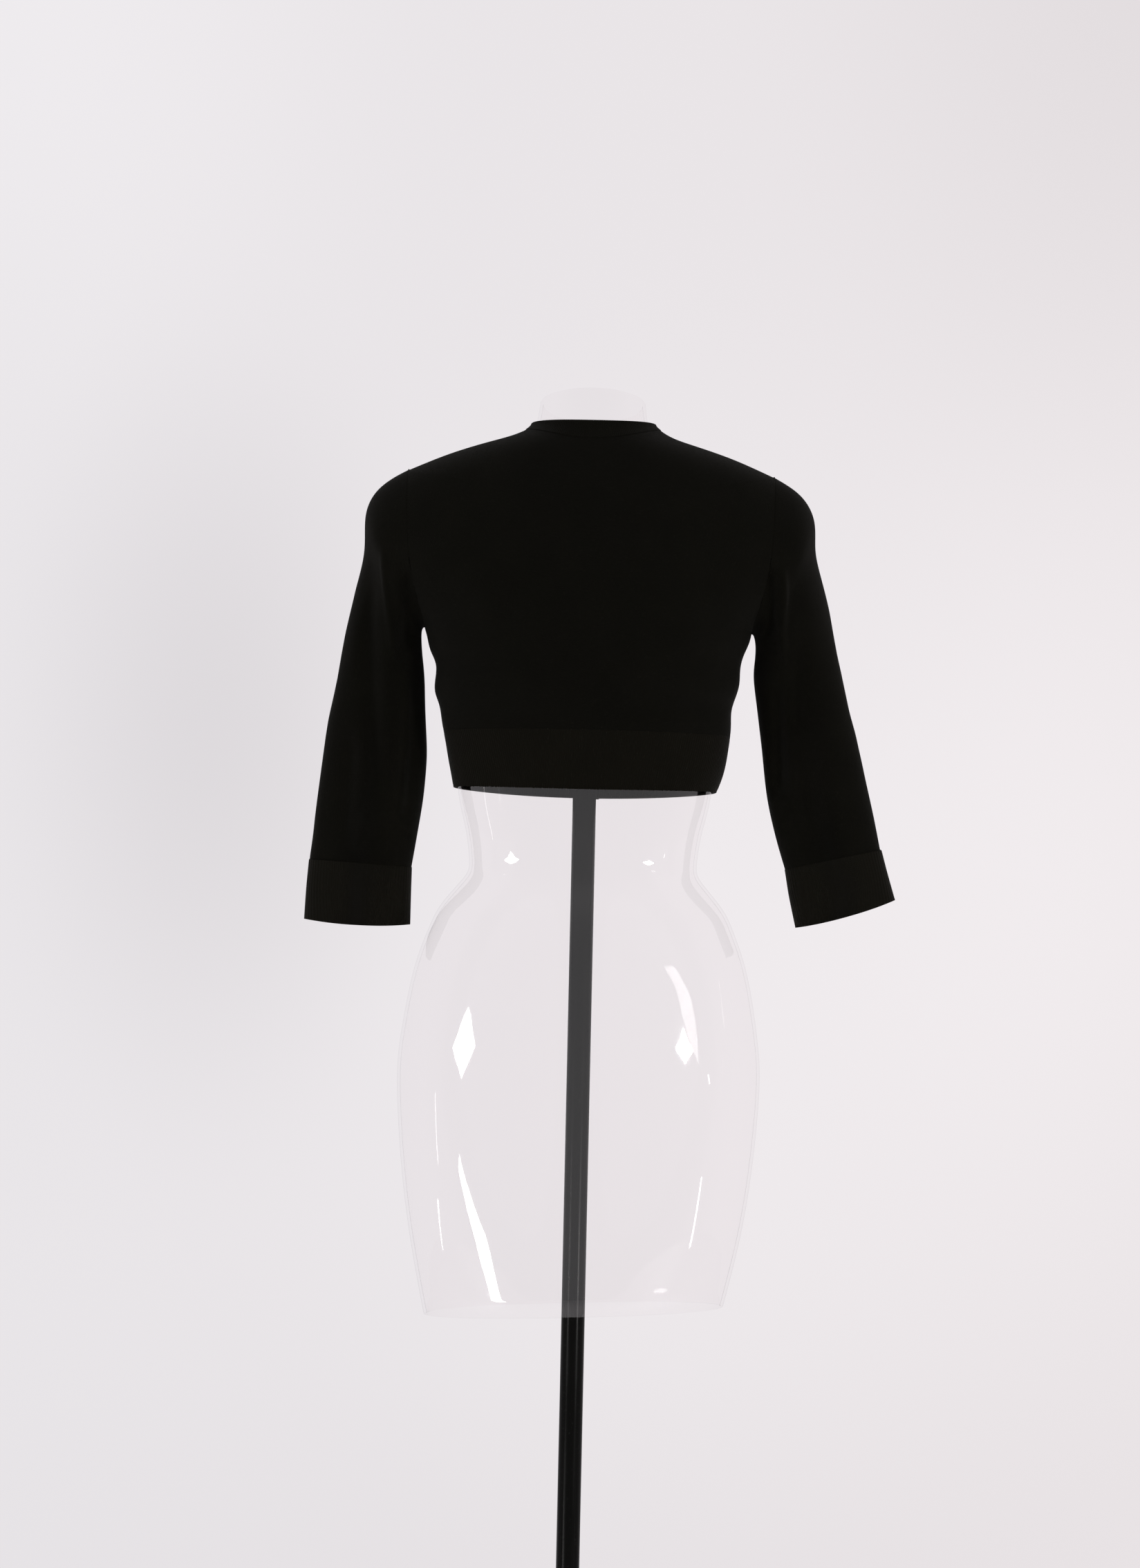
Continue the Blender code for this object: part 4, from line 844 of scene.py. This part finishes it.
for across, up, half_width, half_height, brighter in WALL_PATCHES:
    patch_place = add(tree, "ShaderNodeMapping", Vector=spot, Scale=(1 / half_width, 0.0, 1 / half_height),
                      Location=(-across / half_width, 0.0, -up / half_height))
    patch = add(tree, "ShaderNodeTexGradient", Vector=patch_place.outputs[0])
    patch.gradient_type = "SPHERICAL"
    soft = add(tree, "ShaderNodeMapRange", Value=patch.outputs["Fac"], To_Max=brighter)
    soft.interpolation_type = "SMOOTHSTEP"
    added = add(tree, "ShaderNodeMath", operation="MULTIPLY", i0=soft.outputs[0], i1=far_wall)
    tone = add(tree, "ShaderNodeVectorMath", operation="ADD", i0=tone, i1=added.outputs[0]).outputs[0]
behind = add(tree, "ShaderNodeMapRange", Value=parts.outputs[1], From_Min=0.0, From_Max=0.9, To_Max=0.62)
room = add(tree, "ShaderNodeMix", data_type="RGBA", i0=behind.outputs[0], i6=tone, i7=ROOM_GREY)
tree.links.new(room.outputs[2], walls.inputs["Color"])
walls.inputs["Strength"].default_value = 1.0


LIGHT_AIM = Vector((0, 0, 0.95))
LIGHT_AWAY = 3.0


def glowing(name, corners, strength, lights_room=False):
    """A glowing panel whose corners are given as (azimuth, elevation) in degrees, seen from the form."""
    bm = bmesh.new()
    around = []
    for azimuth, elevation in corners:
        a, e = math.radians(azimuth), math.radians(elevation)
        way = Vector((math.sin(a) * math.cos(e), math.cos(a) * math.cos(e), math.sin(e)))
        around.append(bm.verts.new(LIGHT_AIM + way * LIGHT_AWAY))
    face = bm.faces.new(around)
    face.normal_update()
    if face.normal.dot(LIGHT_AIM - face.calc_center_median()) < 0:
        face.normal_flip()
    mesh = bpy.data.meshes.new(name)
    bm.to_mesh(mesh)
    bm.free()
    cloth_white = new_finish(name + "_cloth", (0.8, 0.8, 0.8, 1), 0.9, Emission_Color=(1, 0.985, 0.97, 1),
                             Emission_Strength=strength)[0]
    mesh.materials.append(cloth_white)
    panel = bpy.data.objects.new(name, mesh)
    bpy.context.scene.collection.objects.link(panel)
    panel.visible_camera = False
    panel.visible_shadow = False
    panel.visible_diffuse = lights_room


glowing("softbox_left", ((42.5, 5.0), (50.5, 9.5), (58.5, 5.0), (50.5, 0.5)), 21, lights_room=True)
glowing("softbox_right", ((-38.5, 5.4), (-44, 7.4), (-49.5, 5.4), (-44, 3.4)), 110, lights_room=True)
glowing("low_strip_left",
        ((55, -6.2), (56.5, -7.2), (51, -12), (40.5, -17.2), (33.5, -16.6), (41.5, -12)), 22)
glowing("slim_strip_left", ((73.2, -2.5), (74, -2.5), (76, -8.5), (75.2, -8.5)), 4)
glowing("edge_strip_left", ((80, -11.5), (81.5, -11.5), (84.5, -16), (83.5, -16)), 10)
glowing("slim_strip_right", ((-63, -8.0), (-64, -8.0), (-65.5, -15), (-64, -15)), 10)
glowing("short_strip_right", ((-60, 1.2), (-61, 1.2), (-62.5, -0.2), (-61.5, -0.2)), 8)

# The camera looks at the back from five metres, a little under the middle of the form, tilted
# up slightly and leaning a little over to one side.
camera_data = bpy.data.cameras.new("studio_camera")
camera_data.sensor_fit = "VERTICAL"
camera_data.sensor_height = 36.0
camera_data.lens = 111.8
camera = bpy.data.objects.new("studio_camera", camera_data)
bpy.context.scene.collection.objects.link(camera)
CAMERA_PLACE = Vector((0.0, 5.0, 0.991))
CAMERA_TILT = 2.3
CAMERA_ROLL = 1.26
CAMERA_PAN = 0.173
camera.matrix_world = (Matrix.Translation(CAMERA_PLACE)
                       @ Matrix.Rotation(math.radians(180 + CAMERA_PAN), 4, "Z")
                       @ Matrix.Rotation(math.radians(90 + CAMERA_TILT), 4, "X")
                       @ Matrix.Rotation(math.radians(CAMERA_ROLL), 4, "Z"))
bpy.context.scene.camera = camera
bpy.context.scene.view_settings.view_transform = "Standard"
